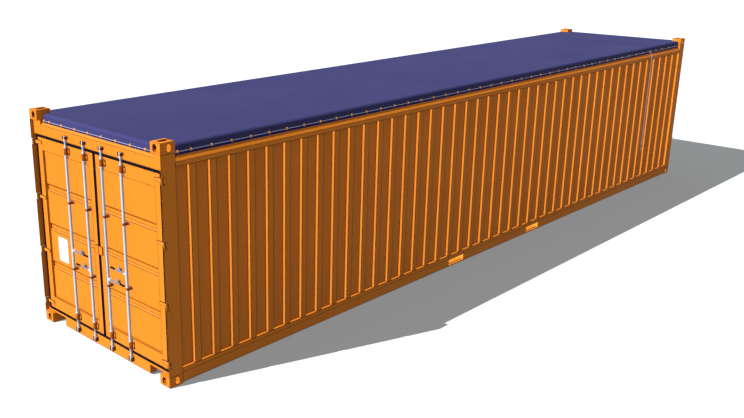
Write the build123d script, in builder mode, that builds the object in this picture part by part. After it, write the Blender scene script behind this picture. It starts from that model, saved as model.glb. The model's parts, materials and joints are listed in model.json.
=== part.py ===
"""Forty foot open-top shipping container with hinged doors at one end and a roped tarpaulin.

Millimetres. X runs along the container with the doors at -X, Y across it, Z up from the
ground. Depths are counted inwards from the door end plane or from a side plane.
"""

import os
from math import cos, radians, sin, tan

from build123d import *

# Overall size
LENGTH = 12192.0
WIDTH = 2438.0
HEIGHT = 2591.0
HALF_LENGTH = LENGTH / 2
HALF_WIDTH = WIDTH / 2

# Corner castings
CASTING_LONG = 178.0
CASTING_WIDE = 162.0
CASTING_TALL = 118.0
CASTING_PLATE = 28.5
CASTING_WALL = 16.0
SLOT_LONG = 124.5
SLOT_WIDE = 63.5
SLOT_INSET_X = 103.5
SLOT_INSET_Y = 89.5
SIDE_HOLE_WIDE = 51.0
SIDE_HOLE_TALL = 79.5
END_HOLE_WIDE = 63.5
END_HOLE_TALL = 79.5
HOLE_STEPS = 4
RING_SIDES = 8
HOLE_TURN = 180.0 / HOLE_STEPS
TOP_CASTING_BASE = HEIGHT - CASTING_TALL

# Steel sheet and plate
SHEET = 2.0
TUBE_WALL = 4.0
POST_PLATE = 6.0

# Bottom structure
BASE_CLEAR = 17.6
BOTTOM_RAIL_TOP = 176.0
BOTTOM_RAIL_STEP = 128.0
BOTTOM_RAIL_JOGGLE = 3.0
BOTTOM_RAIL_FLANGE = 48.0
FLOOR_TOP = 170.0
FLOOR_THICK = 28.0
CROSSMEMBER_PITCH = 305.0
CROSSMEMBER_FLANGE = 45.0
CROSSMEMBER_BASE = 22.0
POCKET_SPACING = 2050.0
POCKET_WIDE = 360.0
POCKET_BASE = 30.0
POCKET_TOP = 115.0
POCKET_STRAP_LONG = 300.0
POCKET_PLATE = 6.0

# Posts at the door end
POST_DEPTH = 178.0
POST_RECESS = 64.0
OPENING_HALF = HALF_WIDTH - 46.0
OPENING_BASE = 152.0
OPENING_TOP = HEIGHT - 288.0
NOTCH_DEEP = 40.0
NOTCH_TALL = 72.0

# Door header and sill
FRAME_FACE = 40.0
HEADER_SHELF = HEIGHT - 145.0
HEADER_SHELF_DEPTH = 66.0
HEADER_WEB_DEPTH = 72.0
HEADER_UPPER_HALF = HALF_WIDTH - CASTING_WIDE - 39.0
HEADER_BACK = 126.0
RAIL_HEAD = HEIGHT - 61.0
SILL_BASE = 20.0
SILL_BACK = 120.0
SILL_NOTCH_Y = HALF_WIDTH - 383.0
SILL_NOTCH_TOP = 122.0

# Top side rails
TOP_RAIL_BASE = HEIGHT - 261.0
TOP_RAIL_FACE_TOP = HEIGHT - 210.0
TOP_RAIL_SLOPE = 31.0
TOP_RAIL_BACK = 61.0
TOP_RAIL_UPPER_HALF = HALF_LENGTH - CASTING_LONG - 40.0

# Side wall corrugation
RIB_PITCH = 265.3
RIB_COUNT = int((LENGTH - 2 * CASTING_LONG) / RIB_PITCH)
RIB_WIDE = 83.0
RIB_DEEP = 35.0
RIB_RUN = 6.0
WALL_FACE = 4.0

# Front wall corrugation
FRONT_FACE = 20.0
FRONT_RIB_PITCH = 250.0
FRONT_RIB_COUNT = int((WIDTH - 2 * CASTING_WIDE) / FRONT_RIB_PITCH)
FRONT_RIB_WIDE = 104.0
FRONT_RIB_DEEP = 45.0
FRONT_RIB_RUN = 18.0
FRONT_POST_DEEP = 178.0

# Door leaves
LEAF_GAP = 17.0
LEAF_EDGE = OPENING_HALF - 23.0
LEAF_BASE = OPENING_BASE + 23.0
LEAF_TOP = OPENING_TOP - 23.0
LEAF_THICK = 50.0
OUTER_STILE = 95.0
CENTRE_STILE = 85.0
LEAF_TOP_RAIL = 157.0
LEAF_BOTTOM_RAIL = 152.0
PANEL_RECESS = 22.0
GROOVE_SHARES = (0.271, 0.494, 0.720)
GROOVE_HEIGHTS = [LEAF_BASE + share * (LEAF_TOP - LEAF_BASE) for share in GROOVE_SHARES]
GROOVE_OPEN = 84.0
GROOVE_SLOPE = 20.0
GROOVE_DEEP = 18.0
GASKET_WIDE = 18.0
GASKET_CENTRE_WIDE = 13.0
GASKET_FACE = 42.0
SEAM_PLATE_HALF = 68.0
SEAM_PLATE_BASE = 1150.0
SEAM_PLATE_TOP = 1245.0
SEAM_PLATE_THICK = 14.0
SEAM_CLEAR = 3.0
PLATE_EDGES = (LEAF_EDGE - 456.0, LEAF_EDGE - 251.0)
PLATE_HEIGHTS = (832.0, 1131.0)
PLATE_THICK = 2.0

# Hinges
HINGE_LOW = LEAF_BASE + 75.0
HINGE_HIGH = LEAF_TOP - 67.0
HINGE_COUNT = 4
HINGE_PITCH = (HINGE_HIGH - HINGE_LOW) / (HINGE_COUNT - 1)
HINGE_HEIGHTS = [HINGE_LOW + index * HINGE_PITCH for index in range(HINGE_COUNT)]
HINGE_DEPTH = 15.0
HINGE_Y = HALF_WIDTH - 15.0
HINGE_PIN_RADIUS = 6.35
HINGE_CLEAR = 0.4
KNUCKLE_RADIUS = 13.0
KNUCKLE_TALL = 50.0
LUG_TALL = 10.0
LUG_GAP = 1.0
LUG_CHAMFER = 4.0
PIN_HEAD = 3.0
BLADE_THICK = 8.0
BLADE_REACH = LEAF_EDGE - 94.0
BLADE_ROOT = 50.0
BLADE_TIP = 32.0

# Lock bars
BAR_RADIUS = 16.0
BAR_DEPTH = 19.0
BAR_YS = (LEAF_EDGE - 628.0, 168.0)
BAR_CLEAR = 0.5
BAR_BASE = LEAF_BASE + 21.0
BAR_TOP = LEAF_TOP - 23.0
NECK_RADIUS = 10.0
KEEPER_HEIGHTS = ((59.0, 113.0), (OPENING_TOP + 42.0, OPENING_TOP + 78.0))
KEEPER_CHEEK = 5.0
KEEPER_LIP = 4.0
KEEPER_HALF = 27.0
KEEPER_MOUTH = 13.0
CAM_LONG = 36.0
CAM_WIDE = 20.0
CAM_CLEAR = 3.0
CAM_CHAMFER = 5.0
END_BRACKETS = ((LEAF_BASE + 31.0, LEAF_BASE + 112.0), (LEAF_TOP - 111.0, LEAF_TOP - 33.0))
BRACKET_HALF = 26.0
BRACKET_FLANGE = 50.0
BRACKET_PLATE = 8.0
BRACKET_CHAMFER = 9.0
STRAP_HEIGHTS = (837.0, LEAF_TOP - 660.0)
RIGHT_STRAP_HEIGHTS = (900.0, LEAF_TOP - 660.0)
STRAP_TALL = 24.0
STRAP_THICK = 2.5
STRAP_FOOT = 4.0
STRAP_HALF = 40.0

# Handles
HANDLE_HEIGHTS = (1064.0, 913.0)
HANDLE_WAYS = (-1, 1)
HANDLE_REACH = 300.0
HANDLE_THICK = 10.0
HANDLE_ROOT = 22.0
HANDLE_TIP = 14.0
EAR_GAP = 0.6
EAR_THICK = 6.0
EAR_HALF = 13.0
PIVOT_REACH = 34.0
PIVOT_RADIUS = 5.0
PIVOT_CLEAR = 0.3
GRIP_LONG = 84.0
GRIP_CAP = 8.0
GRIP_WIDE = 18.0
GRIP_TALL = 22.0
GRIP_CHAMFER = 5.0
CATCH_REACH = 157.0
CATCH_FACE = 30.0
CATCH_FINGER = 6.0
CATCH_WIDE = 22.0
CATCH_BELOW = 30.0
CATCH_ABOVE = 48.0
CATCH_LEDGE = 6.0
CATCH_CLEAR = 1.0
LEDGE_FACE = 12.0

# Roof
TARP_TOP = HEIGHT - 41.0
TARP_THICK = 2.5
TARP_SIDE_SKIRT = HEADER_SHELF - 10.0
TARP_END_SKIRT = HEADER_SHELF + 2.0
TARP_END_DEPTH = 68.0
TARP_SIDE_DEPTH = 28.0
TARP_ROUND = 18.0
TARP_CORNER = 20.0
SKIRT_LAP = 26.0
TARP_NOTCH_X = TOP_RAIL_UPPER_HALF + 22.0
TARP_NOTCH_Y = HEADER_UPPER_HALF + 22.0
BOW_PITCH = 590.0
BOW_COUNT = int((LENGTH - 2 * CASTING_LONG) / BOW_PITCH)
BOW_WIDE = 32.0
BOW_TOP = TARP_TOP - 5.0
BOW_TALL = 30.0
BOW_FOOT = HEADER_SHELF - 1.0
BOW_CLEAR = 4.0
ROPE_RADIUS = 4.0
ROPE_HEIGHT = HEADER_SHELF + 22.0
ROPE_GAP = 1.0
ROPE_CHAMFER_SHARE = 0.58
ROPE_SIDES = 6
TAIL_X = HALF_LENGTH - 1396.0
TAIL_START_Y = HALF_WIDTH - 23.0
TAIL_HANG_Y = HALF_WIDTH + 12.0
TAIL_END = 700.0
TAIL_BEND_SHARE = 0.45

DOOR_PLANE = -HALF_LENGTH
MAIN_HALF = HALF_LENGTH - CASTING_LONG
CROSS_HALF = HALF_WIDTH - CASTING_WIDE
WEB_INNER = HALF_WIDTH - POST_PLATE
LEAF_FACE = DOOR_PLANE + FRAME_FACE
LEAF_REAR = LEAF_FACE + LEAF_THICK
PANEL_FACE = LEAF_FACE + PANEL_RECESS
FLOOR_BASE = FLOOR_TOP - FLOOR_THICK
FLOOR_REACH = HALF_WIDTH - BOTTOM_RAIL_FLANGE
LEVER_ROOT = HANDLE_ROOT / 2
LEVER_TIP = HANDLE_TIP / 2
GRIP_START = HANDLE_REACH - GRIP_LONG


def at_depth(depth):
    """X of a plane this far inwards from the door end."""
    return DOOR_PLANE + depth


def block(x_range, y_range, z_range, mode=Mode.ADD):
    """A block between three pairs of limits, in the current part."""
    size = [high - low for low, high in (x_range, y_range, z_range)]
    middle = [(high + low) / 2 for low, high in (x_range, y_range, z_range)]
    with Locations(tuple(middle)):
        Box(*size, mode=mode)


def pane(first_range, second_range, mode=Mode.ADD):
    """A rectangle between two pairs of limits, in the current sketch."""
    size = [high - low for low, high in (first_range, second_range)]
    middle = [(high + low) / 2 for low, high in (first_range, second_range)]
    with Locations(tuple(middle)):
        Rectangle(*size, mode=mode)


def outline(points):
    """A face inside straight lines between points, in the current sketch."""
    with BuildLine() as border:
        Polyline(*points, close=True)
    make_face(border.edges())


def oval(place, wide, tall):
    """An upright round-ended hole drawn with few straight sides, in the current sketch."""
    turns = [radians(HOLE_TURN * (step + 0.5)) for step in range(-HOLE_STEPS // 2, HOLE_STEPS // 2)]
    upper = [(wide / 2 * sin(turn), (tall - wide) / 2 + wide / 2 * cos(turn)) for turn in turns]
    lower = [(-along, -up) for along, up in upper]
    outline([(place[0] + along, place[1] + up) for along, up in upper + lower])


def ring(place, radius, mode=Mode.ADD, outside=True):
    """Flat-sided stand-in just outside or just inside a circle, in the current sketch."""
    with Locations(place):
        RegularPolygon(radius, RING_SIDES, major_radius=not outside,
                       rotation=180 / RING_SIDES, mode=mode)


def save(part, name):
    part.label = name
    export_step(part, "parts/" + name + ".step")


def across(part):
    """The same piece on the other side of the container's centre line."""
    return mirror(part, about=Plane.XZ)


def save_pair(part, name):
    """A piece of the left side and its mirror image, for a name that holds the word SIDE."""
    save(part, name.replace("SIDE", "left"))
    save(across(part), name.replace("SIDE", "right"))


def corner_casting(x_sign, y_sign, top):
    """One hollow casting with its slot and a hole in each of its two outward faces."""
    centre_x = x_sign * (HALF_LENGTH - CASTING_LONG / 2)
    centre_y = y_sign * (HALF_WIDTH - CASTING_WIDE / 2)
    base = TOP_CASTING_BASE if top else 0.0
    slot = (x_sign * (HALF_LENGTH - SLOT_INSET_X), y_sign * (HALF_WIDTH - SLOT_INSET_Y))
    middle = base + CASTING_TALL / 2
    with BuildPart() as casting:
        with BuildSketch(Plane.XY.offset(base)):
            with Locations((centre_x, centre_y)):
                Rectangle(CASTING_LONG, CASTING_WIDE)
        extrude(amount=CASTING_TALL)
        with Locations((centre_x, centre_y, middle)):
            Box(CASTING_LONG - 2 * CASTING_WALL, CASTING_WIDE - 2 * CASTING_WALL,
                CASTING_TALL - 2 * CASTING_PLATE, mode=Mode.SUBTRACT)
        with BuildSketch(Plane.XY.offset(middle)):
            with Locations(slot):
                SlotOverall(SLOT_LONG, SLOT_WIDE)
        extrude(amount=(1 if top else -1) * CASTING_TALL / 2, mode=Mode.SUBTRACT)
        with BuildSketch(Plane.XZ.offset(-centre_y)):
            oval((slot[0], middle), SIDE_HOLE_WIDE, SIDE_HOLE_TALL)
        extrude(amount=-y_sign * CASTING_WIDE / 2, mode=Mode.SUBTRACT)
        with BuildSketch(Plane.YZ.offset(centre_x)):
            oval((slot[1], middle), END_HOLE_WIDE, END_HOLE_TALL)
        extrude(amount=x_sign * CASTING_LONG / 2, mode=Mode.SUBTRACT)
    return casting.part


def castings(top):
    """The four castings of one level."""
    with BuildPart() as four:
        for x_sign in (-1, 1):
            for y_sign in (-1, 1):
                add(corner_casting(x_sign, y_sign, top))
    return four.part


def door_post():
    """Left post of the doorway: an outer web that guards the hinges, and a hollow inner leg."""
    with BuildPart() as post:
        with BuildSketch(Plane.XY.offset(CASTING_TALL)):
            pane((at_depth(0), at_depth(POST_DEPTH)), (WEB_INNER, HALF_WIDTH))
            pane((at_depth(POST_RECESS), at_depth(POST_DEPTH)), (OPENING_HALF, HALF_WIDTH))
            pane((at_depth(POST_RECESS + POST_PLATE), at_depth(POST_DEPTH - POST_PLATE)),
                 (OPENING_HALF + POST_PLATE, WEB_INNER), mode=Mode.SUBTRACT)
        extrude(amount=TOP_CASTING_BASE - CASTING_TALL)
        with BuildSketch(Plane.XZ.offset(-WEB_INNER)):
            for height in HINGE_HEIGHTS:
                pane((at_depth(0), at_depth(NOTCH_DEEP)),
                     (height - NOTCH_TALL / 2, height + NOTCH_TALL / 2))
        extrude(amount=-POST_PLATE, mode=Mode.SUBTRACT)
    return post.part


def hinge_lugs():
    """Fixed lugs above and below each knuckle of both posts, with the pin through each pair."""
    half = WEB_INNER - HINGE_Y
    pin_x = at_depth(HINGE_DEPTH)
    with BuildPart() as lugs:
        for height in HINGE_HEIGHTS:
            for way in (-1, 1):
                near = height + way * (KNUCKLE_TALL / 2 + LUG_GAP)
                with BuildSketch(Plane.XY.offset(near)):
                    pane((pin_x - half, at_depth(POST_RECESS)), (HINGE_Y - half, HINGE_Y + half))
                    chamfer(vertices().group_by(Axis.X)[0], LUG_CHAMFER)
                extrude(amount=way * LUG_TALL)
            reach = KNUCKLE_TALL / 2 + LUG_GAP + LUG_TALL + PIN_HEAD
            with BuildSketch(Plane.XY.offset(height - reach)):
                ring((pin_x, HINGE_Y), HINGE_PIN_RADIUS, outside=False)
            extrude(amount=2 * reach)
        mirror(about=Plane.XZ)
    return lugs.part


def front_posts():
    """The two hollow posts of the closed end."""
    near = HALF_LENGTH - FRONT_POST_DEEP
    with BuildPart() as post:
        with BuildSketch(Plane.XY.offset(CASTING_TALL)):
            pane((near, HALF_LENGTH), (OPENING_HALF, HALF_WIDTH))
            pane((near + POST_PLATE, HALF_LENGTH - POST_PLATE),
                 (OPENING_HALF + POST_PLATE, WEB_INNER), mode=Mode.SUBTRACT)
        extrude(amount=TOP_CASTING_BASE - CASTING_TALL)
        mirror(about=Plane.XZ)
    return post.part


def end_header(face):
    """Hollow header over the doors, its front this far in, stepped back for the tarpaulin."""
    back = at_depth(HEADER_BACK)
    ends = ((CROSS_HALF, OPENING_HALF), (-OPENING_HALF, -CROSS_HALF))
    with BuildPart() as header:
        with BuildSketch(Plane.XZ.offset(-CROSS_HALF)):
            outline([
                (at_depth(face), OPENING_TOP),
                (at_depth(face), HEADER_SHELF - HEADER_SHELF_DEPTH + face),
                (at_depth(HEADER_SHELF_DEPTH), HEADER_SHELF),
                (at_depth(HEADER_WEB_DEPTH), HEADER_SHELF),
                (at_depth(HEADER_WEB_DEPTH), RAIL_HEAD),
                (back, RAIL_HEAD),
                (back, OPENING_TOP),
            ])
            offset(amount=-TUBE_WALL, mode=Mode.SUBTRACT, kind=Kind.INTERSECTION)
        extrude(amount=2 * CROSS_HALF)
        with BuildSketch(Plane.XY.offset(RAIL_HEAD)):
            for low, high in ((HEADER_UPPER_HALF, CROSS_HALF), (-CROSS_HALF, -HEADER_UPPER_HALF)):
                pane((at_depth(face), back), (low, high))
        extrude(amount=HEADER_SHELF - RAIL_HEAD, mode=Mode.SUBTRACT)
        with BuildSketch(Plane.XY.offset(OPENING_TOP)):
            for low, high in ends:
                pane((at_depth(face), back), (low, high))
        extrude(amount=TOP_CASTING_BASE - OPENING_TOP)
    return header.part


def header_pads():
    """Solid pads that close the hinge recess of both door posts beside the header."""
    with BuildPart() as pads:
        with BuildSketch(Plane.XY.offset(OPENING_TOP)):
            for low, high in ((OPENING_HALF, WEB_INNER), (-WEB_INNER, -OPENING_HALF)):
                pane((LEAF_FACE, at_depth(POST_RECESS)), (low, high))
        extrude(amount=TOP_CASTING_BASE - OPENING_TOP)
    return pads.part


def door_header():
    """Header over the doors with its two pads."""
    with BuildPart() as header:
        add(end_header(FRAME_FACE))
        add(header_pads())
    return header.part


def front_header():
    """Header of the closed end."""
    return mirror(end_header(FRONT_FACE), about=Plane.YZ)


def door_sill():
    """Hollow sill below the doors, cut away at both ends beside the castings."""
    half = SILL_NOTCH_Y
    ends = ((SILL_NOTCH_Y, OPENING_HALF), (-OPENING_HALF, -SILL_NOTCH_Y))
    with BuildPart() as sill:
        with BuildSketch(Plane.XZ.offset(-half)):
            pane((LEAF_FACE, at_depth(SILL_BACK)), (SILL_BASE, OPENING_BASE))
            pane((LEAF_FACE + TUBE_WALL, at_depth(SILL_BACK - TUBE_WALL)),
                 (SILL_BASE + TUBE_WALL, OPENING_BASE - TUBE_WALL), mode=Mode.SUBTRACT)
        extrude(amount=2 * half)
        with BuildSketch(Plane.XY.offset(SILL_NOTCH_TOP)):
            for low, high in ends:
                pane((LEAF_FACE, at_depth(SILL_BACK)), (low, high))
            for low, high in ((OPENING_HALF, WEB_INNER), (-WEB_INNER, -OPENING_HALF)):
                pane((LEAF_FACE, at_depth(POST_RECESS)), (low, high))
        extrude(amount=OPENING_BASE - SILL_NOTCH_TOP)
        for low, high in ((half - TUBE_WALL, half), (-half, TUBE_WALL - half)):
            block((LEAF_FACE, at_depth(SILL_BACK)), (low, high), (SILL_BASE, OPENING_BASE))
    return sill.part


def front_sill():
    """Hollow bottom beam of the closed end, between the castings."""
    near = HALF_LENGTH - SILL_BACK
    face = HALF_LENGTH - FRONT_FACE
    with BuildPart() as sill:
        with BuildSketch(Plane.XZ.offset(-CROSS_HALF)):
            pane((near, face), (SILL_BASE, BOTTOM_RAIL_TOP))
            pane((near + TUBE_WALL, face - TUBE_WALL),
                 (SILL_BASE + TUBE_WALL, BOTTOM_RAIL_TOP - TUBE_WALL), mode=Mode.SUBTRACT)
        extrude(amount=2 * CROSS_HALF)
        with BuildSketch(Plane.XY.offset(CASTING_TALL)):
            for low, high in ((CROSS_HALF, OPENING_HALF), (-OPENING_HALF, -CROSS_HALF)):
                pane((near, face), (low, high))
        extrude(amount=BOTTOM_RAIL_TOP - CASTING_TALL)
    return sill.part


def from_side(depth):
    """Y of a plane this far inwards from the left side."""
    return HALF_WIDTH - depth


def top_rail():
    """Hollow top rail of the left side, with a sloped shoulder below the tarpaulin skirt."""
    with BuildPart() as rail:
        with BuildSketch(Plane.YZ.offset(-MAIN_HALF)):
            outline([
                (from_side(0), TOP_RAIL_BASE),
                (from_side(0), TOP_RAIL_FACE_TOP),
                (from_side(TOP_RAIL_SLOPE), TOP_RAIL_FACE_TOP + TOP_RAIL_SLOPE),
                (from_side(TOP_RAIL_SLOPE), RAIL_HEAD),
                (from_side(TOP_RAIL_BACK), RAIL_HEAD),
                (from_side(TOP_RAIL_BACK), TOP_RAIL_BASE),
            ])
            offset(amount=-TUBE_WALL, mode=Mode.SUBTRACT, kind=Kind.INTERSECTION)
        extrude(amount=2 * MAIN_HALF)
        for low, high in ((TOP_RAIL_UPPER_HALF, MAIN_HALF), (-MAIN_HALF, -TOP_RAIL_UPPER_HALF)):
            block((low, high), (from_side(TOP_RAIL_BACK), from_side(0)),
                  (TARP_SIDE_SKIRT - TUBE_WALL, RAIL_HEAD), mode=Mode.SUBTRACT)
    return rail.part


def rail_profile():
    """Channel profile of the left bottom rail with its small joggle, in the current sketch."""
    step = BOTTOM_RAIL_JOGGLE
    wall = TUBE_WALL
    outline([
        (from_side(0), BASE_CLEAR),
        (from_side(0), BOTTOM_RAIL_STEP - step),
        (from_side(step), BOTTOM_RAIL_STEP),
        (from_side(step), BOTTOM_RAIL_TOP),
        (FLOOR_REACH, BOTTOM_RAIL_TOP),
        (FLOOR_REACH, BOTTOM_RAIL_TOP - wall),
        (from_side(step + wall), BOTTOM_RAIL_TOP - wall),
        (from_side(step + wall), BOTTOM_RAIL_STEP),
        (from_side(wall), BOTTOM_RAIL_STEP - step),
        (from_side(wall), BASE_CLEAR + wall),
        (FLOOR_REACH, BASE_CLEAR + wall),
        (FLOOR_REACH, BASE_CLEAR),
    ])


def bottom_rail():
    """Bottom rail of the left side, in three lengths between castings and fork openings."""
    inner = (POCKET_SPACING - POCKET_WIDE) / 2
    outer = (POCKET_SPACING + POCKET_WIDE) / 2
    with BuildPart() as rail:
        for low, high in ((-MAIN_HALF, -outer), (-inner, inner), (outer, MAIN_HALF)):
            with BuildSketch(Plane.YZ.offset(low)):
                rail_profile()
            extrude(amount=high - low)
    return rail.part


def pocket_mouths():
    """Lengths of rail above and below each fork opening, on both sides."""
    with BuildPart() as mouths:
        for way in (-1, 1):
            with BuildSketch(Plane.YZ.offset(way * POCKET_SPACING / 2 - POCKET_WIDE / 2)):
                rail_profile()
            extrude(amount=POCKET_WIDE)
            block((way * POCKET_SPACING / 2 - POCKET_WIDE / 2,
                   way * POCKET_SPACING / 2 + POCKET_WIDE / 2),
                  (FLOOR_REACH, HALF_WIDTH), (POCKET_BASE, POCKET_TOP), mode=Mode.SUBTRACT)
        mirror(about=Plane.XZ)
    return mouths.part


def corrugated(half, count, pitch, wide, run, low, high):
    """Corners of a corrugated line from -half to half, with centred ribs from low up to high."""
    corners = [(-half, low)]
    for index in range(count):
        middle = (index - (count - 1) / 2) * pitch
        corners.append((middle - wide / 2 - run, low))
        corners.append((middle - wide / 2, high))
        corners.append((middle + wide / 2, high))
        corners.append((middle + wide / 2 + run, low))
    corners.append((half, low))
    return corners


def corrugated_sheet(half, count, pitch, wide, run, face, deep):
    """Closed outline of a corrugated sheet whose ribs reach face."""
    outside = corrugated(half, count, pitch, wide, run, face - deep, face)
    inside = corrugated(half, count, pitch, wide - 2 * SHEET, run, face - deep, face)
    return outside + [(along, out - SHEET) for along, out in inside[::-1]]


def side_wall():
    """Corrugated sheet of the left side, between the rails and the posts."""
    sheet = corrugated_sheet(MAIN_HALF, RIB_COUNT, RIB_PITCH, RIB_WIDE, RIB_RUN,
                             HALF_WIDTH - WALL_FACE, RIB_DEEP)
    with BuildPart() as wall:
        with BuildSketch(Plane.XY.offset(BOTTOM_RAIL_TOP)):
            outline(sheet)
        extrude(amount=TOP_RAIL_BASE - BOTTOM_RAIL_TOP)
    return wall.part


def front_wall():
    """Corrugated sheet of the closed end."""
    sheet = corrugated_sheet(OPENING_HALF, FRONT_RIB_COUNT, FRONT_RIB_PITCH, FRONT_RIB_WIDE,
                             FRONT_RIB_RUN, HALF_LENGTH - FRONT_FACE, FRONT_RIB_DEEP)
    with BuildPart() as wall:
        with BuildSketch(Plane.XY.offset(BOTTOM_RAIL_TOP)):
            outline([(x, y) for y, x in sheet])
        extrude(amount=OPENING_TOP - BOTTOM_RAIL_TOP)
    return wall.part


def floor_boards():
    """Plywood floor on the crossmembers."""
    with BuildPart() as boards:
        block((at_depth(SILL_BACK), HALF_LENGTH - SILL_BACK), (-FLOOR_REACH, FLOOR_REACH),
              (FLOOR_BASE, FLOOR_TOP))
    return boards.part


def crossmember_places():
    """X of the floor channels: evenly spaced in each bay, and one beside each fork tunnel."""
    inner = (POCKET_SPACING - POCKET_WIDE - CROSSMEMBER_FLANGE) / 2
    outer = (POCKET_SPACING + POCKET_WIDE + CROSSMEMBER_FLANGE) / 2
    reach = MAIN_HALF - CROSSMEMBER_FLANGE
    places = []
    for low, high in ((-reach, -outer), (-inner, inner), (outer, reach)):
        bays = round((high - low) / CROSSMEMBER_PITCH)
        places += [low + (high - low) * step / bays for step in range(bays + 1)]
    return places


def crossmembers():
    """Floor channels across the container."""
    with BuildPart() as members:
        with BuildSketch(Plane.XZ.offset(-FLOOR_REACH)):
            for x in crossmember_places():
                near = x - CROSSMEMBER_FLANGE / 2
                far = x + CROSSMEMBER_FLANGE / 2
                pane((near, far), (CROSSMEMBER_BASE, FLOOR_BASE))
                pane((near + TUBE_WALL, far - TUBE_WALL),
                     (CROSSMEMBER_BASE, FLOOR_BASE - TUBE_WALL), mode=Mode.SUBTRACT)
        extrude(amount=2 * FLOOR_REACH)
    return members.part


def fork_pockets():
    """Roof plates of the two fork tunnels, and the straps below their mouths."""
    half = POCKET_WIDE / 2
    strap = FLOOR_REACH - POCKET_STRAP_LONG
    with BuildPart() as pockets:
        for way in (-1, 1):
            x = way * POCKET_SPACING / 2
            block((x - half, x + half), (-FLOOR_REACH, FLOOR_REACH),
                  (POCKET_TOP, POCKET_TOP + POCKET_PLATE))
            for low, high in ((strap, FLOOR_REACH), (-FLOOR_REACH, -strap)):
                block((x - half, x + half), (low, high), (CROSSMEMBER_BASE, POCKET_BASE))
    return pockets.part


def roof_bows():
    """Bows across the open roof, each with two legs beside the top rails."""
    reach = from_side(TOP_RAIL_BACK) - BOW_CLEAR
    low = BOW_TOP - BOW_TALL
    with BuildPart() as bows:
        for index in range(BOW_COUNT):
            x = (index - (BOW_COUNT - 1) / 2) * BOW_PITCH
            with BuildSketch(Plane.YZ.offset(x - BOW_WIDE / 2)):
                pane((-reach, reach), (BOW_FOOT, BOW_TOP))
                pane((BOW_TALL - reach, reach - BOW_TALL), (BOW_FOOT, low), mode=Mode.SUBTRACT)
            extrude(amount=BOW_WIDE)
    return bows.part


def tarp_plan(grow):
    """Plan outline of the tarpaulin, notched at the four castings and let out by grow."""
    end = HALF_LENGTH - TARP_END_DEPTH + grow
    edge = HALF_WIDTH - TARP_SIDE_DEPTH + grow
    notch_x = TARP_NOTCH_X + grow
    notch_y = TARP_NOTCH_Y + grow
    return [
        (end, notch_y), (notch_x, notch_y), (notch_x, edge),
        (-notch_x, edge), (-notch_x, notch_y), (-end, notch_y),
        (-end, -notch_y), (-notch_x, -notch_y), (-notch_x, -edge),
        (notch_x, -edge), (notch_x, -notch_y), (end, -notch_y),
    ]


def tarpaulin():
    """Cover over the roof with skirts on all sides and softened edges and corners."""
    end = HALF_LENGTH - TARP_END_DEPTH
    with BuildPart() as cover:
        with BuildSketch(Plane.XY.offset(TARP_SIDE_SKIRT)):
            outline(tarp_plan(0.0))
            chamfer(vertices(), TARP_CORNER)
        extrude(amount=TARP_TOP - TARP_SIDE_SKIRT)
        chamfer(cover.faces().sort_by(Axis.Z)[-1].edges(), TARP_ROUND)
        offset(amount=-TARP_THICK, openings=cover.faces().sort_by(Axis.Z)[0])
        for low, high in ((TOP_RAIL_UPPER_HALF, end), (-end, -TOP_RAIL_UPPER_HALF)):
            block((low, high), (-HEADER_UPPER_HALF - SKIRT_LAP, HEADER_UPPER_HALF + SKIRT_LAP),
                  (TARP_SIDE_SKIRT, TARP_END_SKIRT), mode=Mode.SUBTRACT)
    return cover.part


def rope_slab(grow):
    """Filled plan of the roof cover let out by grow, as tall as the rope is thick."""
    with BuildPart() as slab:
        with BuildSketch(Plane.XY.offset(ROPE_HEIGHT - ROPE_RADIUS)):
            outline(tarp_plan(grow))
            chamfer(vertices(), TARP_CORNER)
        extrude(amount=2 * ROPE_RADIUS)
    return slab.part


def tarp_rope():
    """Taut rope round the whole skirt, drawn with eight flat sides."""
    rope = rope_slab(ROPE_GAP + 2 * ROPE_RADIUS) - rope_slab(ROPE_GAP)
    flat = rope.edges().filter_by(lambda edge: abs(edge.tangent_at(0).Z) < 0.5)
    return chamfer(flat, ROPE_RADIUS * ROPE_CHAMFER_SHARE)


def rope_tail():
    """Loose end of the rope, over the right top rail and straight down outside the wall."""
    route = [
        (TAIL_X, -TAIL_START_Y, ROPE_HEIGHT - ROPE_RADIUS - ROPE_GAP),
        (TAIL_X + 1, -TAIL_START_Y - 4, ROPE_HEIGHT - 28),
        (TAIL_X, -TAIL_START_Y - 19, ROPE_HEIGHT - 51),
        (TAIL_X - 1, -TAIL_HANG_Y + 3, ROPE_HEIGHT - 73),
        (TAIL_X, -TAIL_HANG_Y, ROPE_HEIGHT - 100),
        (TAIL_X + 3, -TAIL_HANG_Y, TAIL_END),
    ]
    radii = []
    for before, point, after in zip(route, route[1:], route[2:]):
        first = Vector(*point) - Vector(*before)
        second = Vector(*after) - Vector(*point)
        shorter = min(first.length, second.length)
        radii.append(TAIL_BEND_SHARE * shorter / tan(radians(first.get_angle(second) / 2)))
    print("rope tail radii", [round(radius) for radius in radii])
    with BuildPart() as tail:
        with BuildLine() as line:
            FilletPolyline(*route, radius=radii)
        with BuildSketch(Plane(origin=line.line @ 0, z_dir=line.line % 0)):
            RegularPolygon(ROPE_RADIUS, ROPE_SIDES)
        sweep(path=line.line)
    return tail.part


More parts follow.
